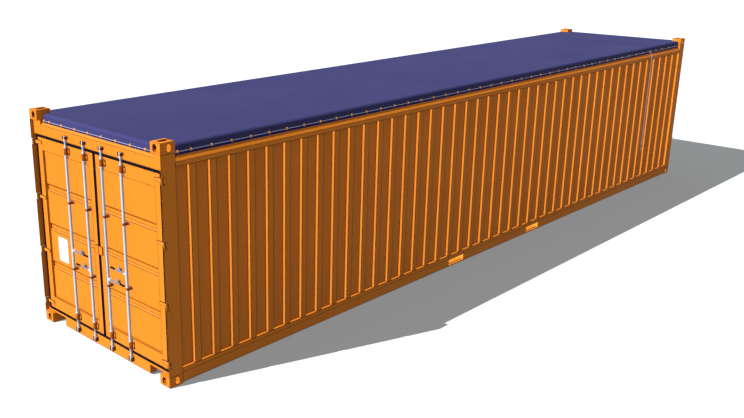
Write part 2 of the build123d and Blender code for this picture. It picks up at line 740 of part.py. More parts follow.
def bar_keepers():
    """Lipped keepers on header and sill that hold the lock bar heads."""
    with BuildPart() as keepers:
        for low, high in KEEPER_HEIGHTS:
            with BuildSketch(Plane.XY.offset(low)):
                for bar_y in BAR_YS + tuple(-bar_y for bar_y in BAR_YS):
                    pane((at_depth(0), LEAF_FACE), (bar_y - KEEPER_HALF, bar_y + KEEPER_HALF))
                    inner = KEEPER_HALF - KEEPER_CHEEK
                    pane((at_depth(KEEPER_LIP), LEAF_FACE), (bar_y - inner, bar_y + inner),
                         mode=Mode.SUBTRACT)
                    pane((at_depth(0), at_depth(KEEPER_LIP)),
                         (bar_y - KEEPER_MOUTH, bar_y + KEEPER_MOUTH), mode=Mode.SUBTRACT)
            extrude(amount=high - low)
    return keepers.part


def door_frame():
    """Welded frame of the left leaf: two hollow stiles with channel rails between them."""
    centre = (LEAF_GAP, LEAF_GAP + CENTRE_STILE)
    outer = (LEAF_EDGE - OUTER_STILE, LEAF_EDGE)
    rails = (
        (LEAF_BASE, LEAF_BASE + LEAF_BOTTOM_RAIL),
        (LEAF_TOP - LEAF_TOP_RAIL, LEAF_TOP),
    )
    with BuildPart() as frame:
        with BuildSketch(Plane.XY.offset(LEAF_BASE)):
            for low, high in (centre, outer):
                pane((LEAF_FACE, LEAF_REAR), (low, high))
                pane((LEAF_FACE + TUBE_WALL, LEAF_REAR - TUBE_WALL),
                     (low + TUBE_WALL, high - TUBE_WALL), mode=Mode.SUBTRACT)
        extrude(amount=LEAF_TOP - LEAF_BASE)
        with BuildSketch(Plane.XZ.offset(-centre[1])):
            for low, high in rails:
                pane((LEAF_FACE, LEAF_REAR), (low, high))
                pane((LEAF_FACE + TUBE_WALL, LEAF_REAR), (low + TUBE_WALL, high - TUBE_WALL),
                     mode=Mode.SUBTRACT)
        extrude(amount=centre[1] - outer[0])
    return frame.part


def door_panel():
    """Recessed sheet of the left leaf with three horizontal pressed grooves."""
    half = GROOVE_OPEN / 2
    front = [(PANEL_FACE, LEAF_BASE + LEAF_BOTTOM_RAIL)]
    for height in GROOVE_HEIGHTS:
        front.append((PANEL_FACE, height - half))
        front.append((PANEL_FACE + GROOVE_DEEP, height - half + GROOVE_SLOPE))
        front.append((PANEL_FACE + GROOVE_DEEP, height + half - GROOVE_SLOPE))
        front.append((PANEL_FACE, height + half))
    front.append((PANEL_FACE, LEAF_TOP - LEAF_TOP_RAIL))
    inner = LEAF_GAP + CENTRE_STILE
    outer = LEAF_EDGE - OUTER_STILE
    with BuildPart() as panel:
        with BuildSketch(Plane.XZ.offset(-inner)):
            outline(front + [(x + SHEET, z) for x, z in front[::-1]])
        extrude(amount=inner - outer)
    return panel.part


def door_gasket():
    """Rubber seal round the left leaf."""
    with BuildPart() as gasket:
        with BuildSketch(Plane.YZ.offset(at_depth(GASKET_FACE))):
            pane((LEAF_GAP - GASKET_CENTRE_WIDE, LEAF_EDGE + GASKET_WIDE),
                 (LEAF_BASE - GASKET_WIDE, LEAF_TOP + GASKET_WIDE))
            pane((LEAF_GAP, LEAF_EDGE), (LEAF_BASE, LEAF_TOP), mode=Mode.SUBTRACT)
        extrude(amount=FRAME_FACE + LEAF_THICK - GASKET_FACE)
    return gasket.part


def door_hinges():
    """Hinge blades of the left leaf, each tapering from its bored knuckle across the leaf."""
    front = LEAF_FACE - BLADE_THICK
    pin_x = at_depth(HINGE_DEPTH)
    with BuildPart() as hinges:
        for height in HINGE_HEIGHTS:
            with BuildSketch(Plane.YZ.offset(front)):
                outline([
                    (HINGE_Y, height - BLADE_ROOT / 2),
                    (HINGE_Y, height + BLADE_ROOT / 2),
                    (BLADE_REACH, height + BLADE_TIP / 2),
                    (BLADE_REACH, height - BLADE_TIP / 2),
                ])
            extrude(amount=BLADE_THICK)
            with BuildSketch(Plane.XY.offset(height - KNUCKLE_TALL / 2)):
                ring((pin_x, HINGE_Y), KNUCKLE_RADIUS)
                pane((pin_x, front), (HINGE_Y - KNUCKLE_RADIUS, HINGE_Y))
                ring((pin_x, HINGE_Y), HINGE_PIN_RADIUS + HINGE_CLEAR, mode=Mode.SUBTRACT)
            extrude(amount=KNUCKLE_TALL)
    return hinges.part


def bar_brackets(outer_straps):
    """Clamps of the left leaf's lock bars: deep ones at the ends, thin straps between."""
    hole = BAR_RADIUS + BAR_CLEAR
    axis_x = at_depth(BAR_DEPTH)
    with BuildPart() as brackets:
        for bar_y, heights in zip(BAR_YS, (outer_straps, STRAP_HEIGHTS)):
            for low, high in END_BRACKETS:
                with BuildSketch(Plane.XY.offset(low)):
                    pane((at_depth(0), LEAF_FACE), (bar_y - BRACKET_HALF, bar_y + BRACKET_HALF))
                    chamfer(vertices().group_by(Axis.X)[0], BRACKET_CHAMFER)
                    pane((LEAF_FACE - BRACKET_PLATE, LEAF_FACE),
                         (bar_y - BRACKET_FLANGE, bar_y + BRACKET_FLANGE))
                    ring((axis_x, bar_y), hole, mode=Mode.SUBTRACT)
                extrude(amount=high - low)
            for height in heights:
                with BuildSketch(Plane.XY.offset(height - STRAP_TALL / 2)):
                    ring((axis_x, bar_y), hole + STRAP_THICK)
                    pane((axis_x, PANEL_FACE),
                         (bar_y - hole - STRAP_THICK, bar_y + hole + STRAP_THICK))
                    pane((PANEL_FACE - STRAP_FOOT, PANEL_FACE),
                         (bar_y - STRAP_HALF, bar_y + STRAP_HALF))
                    ring((axis_x, bar_y), hole, mode=Mode.SUBTRACT)
                extrude(amount=STRAP_TALL)
    return brackets.part


def lever_half(reach):
    """Half the height of a handle this far from its bar."""
    share = (reach - PIVOT_REACH) / (GRIP_START - PIVOT_REACH)
    return LEVER_ROOT + (LEVER_TIP - LEVER_ROOT) * share


def handle_catches():
    """Retainers on the left leaf: a ledge that carries a locked handle and a finger behind it."""
    rest = lever_half(CATCH_REACH) + CATCH_CLEAR
    finger_back = at_depth(CATCH_FACE + CATCH_FINGER)
    with BuildPart() as catches:
        for bar_y, way, height in zip(BAR_YS, HANDLE_WAYS, HANDLE_HEIGHTS):
            middle = bar_y + way * CATCH_REACH
            with BuildSketch(Plane.XZ.offset(-(middle + CATCH_WIDE / 2))):
                outline([
                    (PANEL_FACE, height - CATCH_BELOW),
                    (at_depth(CATCH_FACE), height - rest - CATCH_LEDGE),
                    (at_depth(LEDGE_FACE), height - rest - CATCH_LEDGE),
                    (at_depth(LEDGE_FACE), height - rest),
                    (at_depth(CATCH_FACE), height - rest),
                    (at_depth(CATCH_FACE), height + CATCH_ABOVE),
                    (finger_back, height + CATCH_ABOVE),
                    (finger_back, height + CATCH_BELOW),
                    (PANEL_FACE, height),
                ])
            extrude(amount=CATCH_WIDE)
    return catches.part


def seam_plate():
    """Left half of the cover plate over the joint between the leaves."""
    with BuildPart() as plate:
        block((LEAF_FACE - SEAM_PLATE_THICK, LEAF_FACE), (SEAM_CLEAR, SEAM_PLATE_HALF),
              (SEAM_PLATE_BASE, SEAM_PLATE_TOP))
    return plate.part


def document_plate():
    """Blank plate on the panel of the left leaf."""
    with BuildPart() as plate:
        block((PANEL_FACE - PLATE_THICK, PANEL_FACE), PLATE_EDGES, PLATE_HEIGHTS)
    return plate.part


def lock_bar(bar_y, way, height):
    """One lock bar with a necked head at each end and the two ears that hold its handle."""
    axis_x = at_depth(BAR_DEPTH)
    (sill_low, sill_high), (header_low, header_high) = KEEPER_HEIGHTS
    heads = ((sill_low + CAM_CLEAR, sill_high - CAM_CLEAR),
             (header_low + CAM_CLEAR, header_high - CAM_CLEAR))
    ear_reach = (HANDLE_THICK / 2 + EAR_GAP, HANDLE_THICK / 2 + EAR_GAP + EAR_THICK)
    with BuildPart() as bar:
        for low, high in ((heads[0][0], BAR_BASE), (BAR_TOP, heads[1][1])):
            with BuildSketch(Plane.XY.offset(low)):
                ring((axis_x, bar_y), NECK_RADIUS)
            extrude(amount=high - low)
        with BuildSketch(Plane.XY.offset(BAR_BASE)):
            with Locations((axis_x, bar_y)):
                Circle(BAR_RADIUS)
        extrude(amount=BAR_TOP - BAR_BASE)
        for low, high in heads:
            with BuildSketch(Plane.XY.offset(low)):
                with Locations((axis_x, bar_y)):
                    head = Rectangle(CAM_WIDE, CAM_LONG)
                chamfer(head.vertices(), CAM_CHAMFER)
            extrude(amount=high - low)
        for near, far in (ear_reach, (-ear_reach[1], -ear_reach[0])):
            with BuildSketch(Plane.YZ.offset(axis_x + near)):
                pivot = bar_y + way * PIVOT_REACH
                ring((pivot, height), EAR_HALF)
                pane(sorted((bar_y, pivot)), (height - EAR_HALF, height + EAR_HALF))
            extrude(amount=far - near)
        with BuildSketch(Plane.YZ.offset(axis_x - ear_reach[1])):
            ring((bar_y + way * PIVOT_REACH, height), PIVOT_RADIUS, outside=False)
        extrude(amount=2 * ear_reach[1])
    return bar.part


def handle(bar_y, way, height):
    """Flat tapered handle that turns on the pin between the ears of its bar."""
    pivot = bar_y + way * PIVOT_REACH
    neck = bar_y + way * GRIP_START
    tip = bar_y + way * (HANDLE_REACH - GRIP_CAP)
    with BuildPart() as lever:
        with BuildSketch(Plane.YZ.offset(at_depth(BAR_DEPTH) - HANDLE_THICK / 2)):
            outline([
                (pivot, height - LEVER_ROOT),
                (neck, height - LEVER_TIP),
                (tip, height - LEVER_TIP),
                (tip, height + LEVER_TIP),
                (neck, height + LEVER_TIP),
                (pivot, height + LEVER_ROOT),
            ])
            ring((pivot, height), LEVER_ROOT)
            ring((pivot, height), PIVOT_RADIUS + PIVOT_CLEAR, mode=Mode.SUBTRACT)
        extrude(amount=HANDLE_THICK)
    return lever.part


def handle_grip(bar_y, way, height):
    """Moulded sleeve over the free end of a handle."""
    start = bar_y + way * GRIP_START
    centre_x = at_depth(BAR_DEPTH)
    with BuildPart() as grip:
        with BuildSketch(Plane.XZ.offset(-start)):
            with Locations((centre_x, height)):
                edge = Rectangle(GRIP_WIDE, GRIP_TALL)
            chamfer(edge.vertices(), GRIP_CHAMFER)
        extrude(amount=-way * GRIP_LONG)
        with BuildSketch(Plane.XZ.offset(-start)):
            with Locations((centre_x, height)):
                Rectangle(HANDLE_THICK, HANDLE_TIP)
        extrude(amount=-way * (GRIP_LONG - GRIP_CAP), mode=Mode.SUBTRACT)
    return grip.part


def save_bars():
    """The two bars of the left leaf with their handles, and their mirror images."""
    for index, (bar_y, way, height) in enumerate(zip(BAR_YS, HANDLE_WAYS, HANDLE_HEIGHTS)):
        for maker, name in ((lock_bar, "lock_bar"), (handle, "handle"),
                            (handle_grip, "handle_grip")):
            piece = maker(bar_y, way, height)
            save(piece, name + "_" + str(index + 1))
            save(across(piece), name + "_" + str(4 - index))


def main():
    os.makedirs("parts", exist_ok=True)
    save(castings(True), "top_corner_castings")
    save(castings(False), "bottom_corner_castings")
    save_pair(door_post(), "SIDE_door_post")
    save(hinge_lugs(), "hinge_lugs")
    save(front_posts(), "front_corner_posts")
    save(door_header(), "door_header")
    save(door_sill(), "door_sill")
    save(front_header(), "front_header")
    save(front_sill(), "front_sill")
    save_pair(top_rail(), "SIDE_top_rail")
    save_pair(bottom_rail(), "SIDE_bottom_rail")
    save_pair(side_wall(), "SIDE_side_wall")
    save(front_wall(), "front_wall")
    save(floor_boards(), "floor_boards")
    save(crossmembers(), "crossmembers")
    save(fork_pockets(), "fork_pockets")
    save(pocket_mouths(), "pocket_mouths")
    save(roof_bows(), "roof_bows")
    save(tarpaulin(), "tarpaulin")
    save(tarp_rope(), "tarp_rope")
    save(rope_tail(), "rope_tail")
    save(bar_keepers(), "bar_keepers")
    save_pair(door_frame(), "SIDE_door_frame")
    save_pair(door_panel(), "SIDE_door_panel")
    save_pair(door_gasket(), "SIDE_door_gasket")
    save_pair(door_hinges(), "SIDE_door_hinges")
    save(bar_brackets(STRAP_HEIGHTS), "left_bar_brackets")
    save(across(bar_brackets(RIGHT_STRAP_HEIGHTS)), "right_bar_brackets")
    save_pair(handle_catches(), "SIDE_handle_catches")
    save_pair(seam_plate(), "SIDE_seam_plate")
    save(document_plate(), "document_plate")
    save_bars()


main()
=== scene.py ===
"""Looks of the open-top freight container. Metres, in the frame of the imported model."""

import json
from math import cos, pi, radians, sin

import bmesh
import bpy
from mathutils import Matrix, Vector


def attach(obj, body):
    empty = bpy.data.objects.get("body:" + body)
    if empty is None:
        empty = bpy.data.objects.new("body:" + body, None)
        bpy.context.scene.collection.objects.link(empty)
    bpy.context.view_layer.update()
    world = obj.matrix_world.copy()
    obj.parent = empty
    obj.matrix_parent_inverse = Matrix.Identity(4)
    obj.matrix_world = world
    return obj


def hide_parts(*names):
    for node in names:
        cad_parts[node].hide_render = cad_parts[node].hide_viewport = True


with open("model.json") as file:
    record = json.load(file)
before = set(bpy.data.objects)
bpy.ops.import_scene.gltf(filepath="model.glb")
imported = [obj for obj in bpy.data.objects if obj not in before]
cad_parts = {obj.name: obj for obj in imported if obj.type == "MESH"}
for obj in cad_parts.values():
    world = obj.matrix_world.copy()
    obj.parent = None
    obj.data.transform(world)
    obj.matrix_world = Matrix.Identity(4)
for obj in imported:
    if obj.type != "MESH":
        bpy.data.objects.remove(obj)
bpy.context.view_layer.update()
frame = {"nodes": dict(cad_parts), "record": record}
nodes = frame["nodes"]

# Container
HALF_LONG = 6.096
HALF_WIDE = 1.219
TALL = 2.591
FLOOR_TOP = 0.170
SCREW_START = (-5.795, -1.08)
SCREW_PITCH = (0.305, 0.216)
SCREW_ROWS = 39
SCREW_COLUMNS = 11
TUNNEL_PLACES = (-1.025, 1.025)
TUNNEL_CHEEK = (0.1795, 0.1840)
TUNNEL_HEIGHTS = (0.0305, 0.1145)

# Corner castings
CAST_LONG = 0.178
CAST_WIDE = 0.162
CAST_TALL = 0.118
CAST_WALL = 0.016
CAST_PLATE = 0.0285
TOP_SLOT = (0.1245, 0.0635)
SIDE_HOLE = (0.051, 0.0795)
END_HOLE = (0.0635, 0.0795)
SLOT_FROM_END = 0.1035
SLOT_FROM_SIDE = 0.0895

# Roof cover
COVER_TOP = 2.550
COVER_END = HALF_LONG - 0.068
COVER_SIDE = HALF_WIDE - 0.028
COVER_NOTCH_X = 5.900
COVER_NOTCH_Y = 1.040
SIDE_HEM = 2.436
END_HEM = 2.448
COVER_THICK = 0.0016
SHOULDER = 0.028
SKIRT_LEVELS = (0.017, 0.030, 0.052, 0.071, 0.085, 0.088, 0.110, 0.114)
BOW_PITCH = 0.590
BOW_SAG = 0.0030
ROPE_HEIGHT = 2.468
ROPE_RADIUS = 0.0036
ROPE_OUT = 0.005
ROPE_BEND = 0.02
STAPLE_PITCH = 0.2653
STAPLES_LONG = 44
END_STAPLES = (0.128, 0.384, 0.640, 0.896)

# Doors: both leaves with the way they lie from the middle and the bars they carry
SIDES = (("left", 1, (0, 1)), ("right", -1, (2, 3)))
BAR_AXIS = -HALF_LONG + 0.019
BAR_PLACES = (0.522, 0.168, -0.168, -0.522)
BAR_WAYS = (-1, 1, -1, 1)
HANDLE_HEIGHTS = (1.064, 0.913, 0.913, 1.064)
BAR_RADIUS = 0.016
BAR_STATIONS = (
    (0.066, 0.008), (0.108, 0.009), (0.116, 0.0135), (0.124, 0.0150), (0.134, 0.0140),
    (0.152, 0.0100), (0.172, 0.0098), (0.188, 0.0130), (0.198, 0.0165), (0.205, 0.0170),
    (0.206, BAR_RADIUS), (0.288, BAR_RADIUS), (0.2885, 0.0185), (0.300, 0.0185),
    (0.303, BAR_RADIUS), (2.150, BAR_RADIUS), (2.153, 0.0185), (2.167, 0.0185),
    (2.1675, BAR_RADIUS), (2.2475, BAR_RADIUS), (2.249, 0.0170), (2.258, 0.0165),
    (2.268, 0.0130), (2.286, 0.0098), (2.303, 0.0100), (2.320, 0.0140), (2.330, 0.0150),
    (2.338, 0.0135), (2.346, 0.009), (2.376, 0.008))
LEAF_PLANE = -HALF_LONG + 0.040
PANEL_PLANE = -HALF_LONG + 0.062
LEAF_INNER = 0.017
LEAF_OUTER = 1.150
LEAF_LOW = 0.175
LEAF_HIGH = 2.280
KEEPERS = ((0.059, 0.113), (2.345, 2.381))
END_CLAMPS = ((0.206, 0.287), (2.169, 2.247))
STRAP_HEIGHTS = ((0.837, 1.620), (0.837, 1.620), (0.837, 1.620), (0.900, 1.620))
FLANGE_THICK = 0.008
FOOT_THICK = 0.004
FLANGE_HALF = 0.050
FLANGE_BOLT_OUT = 0.038
FLANGE_BOLT_IN = 0.018
FOOT_BOLT_OUT = 0.030
PLATE_RIVETS_Y = (0.706, 0.887)
PLATE_RIVETS_Z = (0.844, 1.119)
PIVOT_OUT = 0.034
HANDLE_OUT = 0.300
GRIP_LONG = 0.084
CATCH_OUT = 0.157
LEVER_TAPER = ((0.25, 0.0094), (0.5, 0.0083), (0.75, 0.0074), (1.0, 0.007))


# Node helpers

class Tree:
    """Short ways to place and join the nodes of one tree."""

    def __init__(self, tree):
        self.nodes = tree.nodes
        self.links = tree.links

    def put(self, socket, value):
        if isinstance(value, bpy.types.NodeSocket):
            self.links.new(value, socket)
        else:
            socket.default_value = value

    def fill(self, node, values):
        for name, value in values.items():
            self.put(node.inputs[name], value)

    def add(self, kind, values=None, **settings):
        node = self.nodes.new(kind)
        for name, value in settings.items():
            setattr(node, name, value)
        self.fill(node, values or {})
        return node

    def place(self):
        return self.add("ShaderNodeTexCoord").outputs["Object"]

    def split(self, place):
        return self.add("ShaderNodeSeparateXYZ", {0: place}).outputs

    def math(self, operation, first, second=0.0, clamp=False):
        return self.add("ShaderNodeMath", {0: first, 1: second}, operation=operation,
                        use_clamp=clamp).outputs[0]

    def noise(self, place, scale, detail=3.0, roughness=0.5):
        return self.add("ShaderNodeTexNoise", {"Vector": place, "Scale": scale, "Detail": detail,
                                               "Roughness": roughness}).outputs["Fac"]

    def span(self, value, low, high, to_low=0.0, to_high=1.0):
        return self.add("ShaderNodeMapRange", {
            "Value": value, "From Min": low, "From Max": high, "To Min": to_low,
            "To Max": to_high}, interpolation_type="SMOOTHSTEP").outputs["Result"]

    def mix(self, share, first, second):
        return self.add("ShaderNodeMix", {"Factor": share, "A": first, "B": second},
                        data_type="RGBA").outputs["Result"]

    def spread(self, place, scale):
        return self.add("ShaderNodeMapping", {"Vector": place, "Scale": scale}).outputs["Vector"]

    def use(self, group, values):
        return self.add("ShaderNodeGroup", values, node_tree=group).outputs

    def lined(self, base, dark, share, sizes):
        """The base colour with darker lines along its edges."""
        edges = self.use(EDGE_LINES, sizes)["Mask"]
        return self.mix(self.math("MULTIPLY", edges, share), base, dark)

    def bump(self, height, strength, distance, normal=None):
        node = self.add("ShaderNodeBump", {"Height": height, "Strength": strength,
                                           "Distance": distance})
        if normal is not None:
            self.put(node.inputs["Normal"], normal)
        return node.outputs["Normal"]


def start_group(name, kind, inputs, outputs):
    """An empty group with typed inputs (name, kind, value) and outputs (name, kind)."""
    group = bpy.data.node_groups.new(name, kind)
    for label, sort, value in inputs:
        item = group.interface.new_socket(label, in_out="INPUT", socket_type="NodeSocket" + sort)
        if value is not None:
            item.default_value = value
    for label, sort in outputs:
        group.interface.new_socket(label, in_out="OUTPUT", socket_type="NodeSocket" + sort)
    tree = Tree(group)
    return group, tree, tree.add("NodeGroupInput").outputs, tree.add("NodeGroupOutput").inputs


def start_material(name):
    """A material with a Principled shader, and its tree."""
    material = bpy.data.materials.new(name)
    material.use_nodes = True
    return material, Tree(material.node_tree), material.node_tree.nodes["Principled BSDF"]


def linear(red, green, blue):
    """A colour written as it looks on a screen, 0 to 255, in the form that shaders take."""
    def curve(value):
        share = value / 255.0
        return share / 12.92 if share <= 0.04045 else ((share + 0.055) / 1.055) ** 2.4
    return (curve(red), curve(green), curve(blue), 1.0)


# Effects that several finishes share

def edge_lines_group():
    """Mask of edges and corners within a width, from how the rounded normal turns there."""
    group, tree, given, out = start_group("edge_lines", "ShaderNodeTree", [
        ("Width", "Float", 0.006), ("Low", "Float", 0.01), ("High", "Float", 0.035)],
        [("Mask", "Float")])
    shape = tree.add("ShaderNodeNewGeometry")
    rounded = tree.add("ShaderNodeBevel", {"Radius": given["Width"]}, samples=6)
    dot = tree.add("ShaderNodeVectorMath", {0: rounded.outputs["Normal"],
                                            1: shape.outputs["Normal"]}, operation="DOT_PRODUCT")
    turned_away = tree.math("SUBTRACT", 1.0, dot.outputs["Value"])
    tree.put(out["Mask"], tree.span(turned_away, given["Low"], given["High"]))
    return group


def crease_shade_group():
    """Mask of painted shade in creases and concave corners, from ambient occlusion, broken up by
    noise.
    """
    group, tree, given, out = start_group("painted_crease_shade", "ShaderNodeTree", [
        ("Reach", "Float", 0.04), ("Break", "Float", 0.3)], [("Mask", "Float")])
    near = tree.add("ShaderNodeAmbientOcclusion", {"Distance": given["Reach"]}, samples=6)
    closed = tree.math("SUBTRACT", 1.0, near.outputs["AO"])
    patches = tree.noise(tree.place(), 9.0, 4.0, 0.6)
    share = tree.math("MULTIPLY", patches, given["Break"])
    mask = tree.math("SUBTRACT", closed, share, clamp=True)
    tree.put(out["Mask"], tree.span(mask, 0.06, 0.42))
    return group


def weathering_group():
    """Slow patches of shade, fine runs that follow gravity, and road dust near the ground."""
    group, tree, given, out = start_group("weathering", "ShaderNodeTree", [
        ("Patch Size", "Float", 0.8), ("Run Amount", "Float", 0.5)],
        [("Patches", "Float"), ("Runs", "Float"), ("Low Dust", "Float")])
    place = tree.place()
    tree.put(out["Patches"], tree.noise(place, given["Patch Size"], 5.0, 0.6))
    streaks = tree.noise(tree.spread(place, (26.0, 26.0, 0.9)), 1.0, 4.0, 0.65)
    tree.put(out["Runs"], tree.math("MULTIPLY", tree.span(streaks, 0.56, 0.82),
                                    given["Run Amount"]))
    low = tree.span(tree.split(place)["Z"], 0.75, 0.0)
    speckle = tree.noise(place, 34.0, 4.0, 0.7)
    tree.put(out["Low Dust"], tree.math("MULTIPLY", low, tree.span(speckle, 0.35, 0.75)))
    return group


def fine_height_group():
    """Surface height of sprayed paint or cast metal: ripple over a finer grain."""
    group, tree, given, out = start_group("fine_height", "ShaderNodeTree", [
        ("Ripple Size", "Float", 90.0), ("Grain Size", "Float", 900.0),
        ("Grain Share", "Float", 0.3)], [("Height", "Float")])
    place = tree.place()
    ripple = tree.noise(place, given["Ripple Size"], 2.0, 0.4)
    grain = tree.noise(place, given["Grain Size"], 2.0, 0.6)
    part = tree.math("MULTIPLY", grain, given["Grain Share"])
    tree.put(out["Height"], tree.math("ADD", ripple, part))
    return group


EDGE_LINES = edge_lines_group()
CREASE_SHADE = crease_shade_group()
WEATHERING = weathering_group()
FINE_HEIGHT = fine_height_group()

# Finishes

ORANGE = (252, 146, 36)
ORANGE_DEEP = (249, 142, 33)
# Dark colour of the edge lines and of the painted shade in creases.
ORANGE_DARK = linear(78, 50, 10)
ROAD_DUST = linear(206, 150, 84)
COVER_BLUE = linear(66, 66, 119)
COVER_DEEP = linear(63, 63, 115)
# Deeper blue of the hem, also used for the painted shade line above the rope.
HEM_AND_SHADE_BLUE = linear(38, 38, 108)


def quiet_bounce(tree, colour):
    """The same colour, but greyer and darker for light that bounces on to other faces."""
    seen = tree.add("ShaderNodeLightPath")
    share = tree.math("MULTIPLY", seen.outputs["Is Diffuse Ray"], 0.8)
    return tree.mix(share, colour, (0.10, 0.09, 0.08, 1.0))


def painted_steel(name, colour=ORANGE, deep=ORANGE_DEEP, line_width=0.012, line_share=1.0,
                  crease_shade_share=0.8):
    """Sprayed topcoat with faint patches, painted shade in its creases and darker edges."""
    material, tree, shader = start_material(name)
    weather = tree.use(WEATHERING, {"Patch Size": 0.9, "Run Amount": 0.35})
    base = tree.mix(tree.span(weather["Patches"], 0.3, 0.7), linear(*colour), linear(*deep))
    base = tree.mix(weather["Runs"], base, linear(*deep))
    base = tree.mix(tree.math("MULTIPLY", weather["Low Dust"], 0.12), base, ROAD_DUST)
    # Painted shade: creases and concave corners darkened towards ORANGE_DARK from ambient
    # occlusion; the same mask also roughens them.
    creases = tree.use(CREASE_SHADE, {"Reach": 0.02, "Break": 0.25})["Mask"]
    base = tree.mix(tree.math("MULTIPLY", creases, crease_shade_share), base, ORANGE_DARK)
    base = tree.lined(base, ORANGE_DARK, line_share, {"Width": line_width})
    gloss = tree.span(weather["Patches"], 0.2, 0.8, 0.46, 0.60)
    height = tree.use(FINE_HEIGHT, {"Ripple Size": 55.0, "Grain Size": 700.0,
                                    "Grain Share": 0.25})["Height"]
    tree.fill(shader, {"Base Color": quiet_bounce(tree, base),
                       "Roughness": tree.math("ADD", gloss, tree.math("MULTIPLY", creases, 0.3)),
                       "Normal": tree.bump(height, 0.06, 0.002), "Specular IOR Level": 0.22})
    return material


def cast_steel(name, colour=ORANGE, deep=ORANGE_DEEP):
    """Painted corner casting: the same topcoat over a coarse sand-cast skin."""
    material, tree, shader = start_material(name)
    weather = tree.use(WEATHERING, {"Patch Size": 4.0, "Run Amount": 0.3})
    base = tree.mix(tree.span(weather["Patches"], 0.3, 0.7), linear(*colour), linear(*deep))
    base = tree.lined(base, ORANGE_DARK, 0.9, {"Width": 0.014, "Low": 0.015, "High": 0.06})
    height = tree.use(FINE_HEIGHT, {"Ripple Size": 120.0, "Grain Size": 480.0,
                                    "Grain Share": 0.8})["Height"]
    tree.fill(shader, {"Base Color": quiet_bounce(tree, base), "Roughness": 0.55,
                       "Normal": tree.bump(height, 0.3, 0.002), "Specular IOR Level": 0.22})
    return material


def zinc_steel(name, light=(212, 229, 246), dark=(203, 221, 240), rough=0.5, metal=0.0,
               line_share=0.0):
    """Hot-dip galvanised steel with its pale crystals."""
    material, tree, shader = start_material(name)
    place = tree.place()
    crystals = tree.add("ShaderNodeTexVoronoi", {"Vector": place, "Scale": 90.0})
    tone = tree.add("ShaderNodeSeparateColor", {0: crystals.outputs["Color"]})
    share = tree.math("ADD", tree.math("MULTIPLY", tone.outputs[0], 0.3),
                      tree.math("MULTIPLY", tree.noise(place, 5.0, 4.0, 0.6), 0.7))
    base = tree.mix(tree.span(share, 0.25, 0.75), linear(*light), linear(*dark))
    base = tree.lined(base, linear(70, 76, 88), line_share, {"Width": 0.003})
    tree.fill(shader, {"Base Color": base, "Metallic": metal, "Specular IOR Level": 0.25,
                       "Roughness": tree.span(share, 0.2, 0.8, rough - 0.08, rough + 0.1),
                       "Normal": tree.bump(share, 0.05, 0.0006)})
    return material


def rubber(name, tone, rough=0.62):
    """Black moulded rubber, a little chalky."""
    material, tree, shader = start_material(name)
    place = tree.place()
    bloom = tree.noise(place, 18.0, 5.0, 0.65)
    base = tree.mix(tree.span(bloom, 0.45, 0.8), linear(*tone), linear(22, 24, 34))
    tree.fill(shader, {"Base Color": base, "Specular IOR Level": 0.12,
                       "Roughness": tree.span(bloom, 0.3, 0.8, rough - 0.1, rough + 0.15),
                       "Normal": tree.bump(tree.noise(place, 700.0, 2.0, 0.6), 0.15, 0.0008)})
    return material


def bare_plate(name):
    """White enamelled plate, blank, with a slight orange-peel skin."""
    material, tree, shader = start_material(name)
    place = tree.place()
    slow = tree.span(tree.noise(place, 6.0, 4.0, 0.6), 0.3, 0.7)
    base = tree.mix(slow, linear(255, 255, 254), linear(250, 250, 248))
    tree.fill(shader, {"Base Color": tree.lined(base, linear(60, 54, 46), 0.8, {"Width": 0.009}),
                       "Roughness": 0.32,
                       "Normal": tree.bump(tree.noise(place, 220.0, 2.0), 0.05, 0.001)})
    return material


def plywood(name):
    """Sealed plywood floor: sheets across the container, veneer grain along them."""
    material, tree, shader = start_material(name)
    place = tree.place()
    grain = tree.noise(tree.spread(place, (3.0, 46.0, 46.0)), 1.0, 6.0, 0.62)
    tone = tree.math("ADD", tree.math("MULTIPLY", grain, 0.7),
                     tree.math("MULTIPLY", tree.noise(place, 1.3), 0.3))
    base = tree.mix(tree.span(tone, 0.32, 0.68), linear(166, 118, 76), linear(122, 80, 48))
    joint = tree.math("PINGPONG", tree.split(place)["X"], 0.61)
    base = tree.mix(tree.span(joint, 0.003, 0.0), base, linear(38, 24, 14))
    tree.fill(shader, {"Base Color": base,
                       "Roughness": tree.span(grain, 0.2, 0.8, 0.45, 0.65),
                       "Normal": tree.bump(grain, 0.2, 0.001)})
    return material


def cover_cloth(name):
    """Coated cover cloth: woven base under a smooth skin, faint creases, a deeper blue hem that
    is partly painted shade under the rope, and a painted shade line just above the rope.
    """
    material, tree, shader = start_material(name)
    place = tree.place()
    slow = tree.noise(place, 0.7, 5.0, 0.6)
    base = tree.mix(tree.span(slow, 0.3, 0.7), COVER_BLUE, COVER_DEEP)
    height = tree.split(place)["Z"]
    # Below the rope a deeper blue hem, partly its own colour and partly painted shade under the
    # rope; just above the rope a thin painted shade line.
    hem = tree.span(height, ROPE_HEIGHT - 0.001, ROPE_HEIGHT - 0.004)
    shade_above_rope = tree.math("MULTIPLY", tree.span(height, ROPE_HEIGHT + 0.004, ROPE_HEIGHT + 0.005),
                     tree.span(height, ROPE_HEIGHT + 0.010, ROPE_HEIGHT + 0.008))
    shade_above_rope = tree.math("MULTIPLY", shade_above_rope, 0.6)
    base = tree.mix(tree.math("MAXIMUM", hem, shade_above_rope), base, HEM_AND_SHADE_BLUE)
    warp, weft = (tree.add("ShaderNodeTexWave", {"Vector": place, "Scale": 60.0,
                                                 "Distortion": 0.4}, wave_type="BANDS",
                           bands_direction=axis).outputs["Fac"] for axis in ("X", "Y"))
    creasing = tree.noise(tree.spread(place, (1.0, 2.5, 2.5)), 5.0, 5.0, 0.55)
    weave = tree.bump(tree.math("MAXIMUM", warp, weft), 0.06, 0.0006,
                      tree.bump(creasing, 0.06, 0.02))
    tree.fill(shader, {"Base Color": base, "Roughness": tree.span(slow, 0.3, 0.7, 0.66, 0.76),
                       "Normal": weave, "Specular IOR Level": 0.12})
    return material


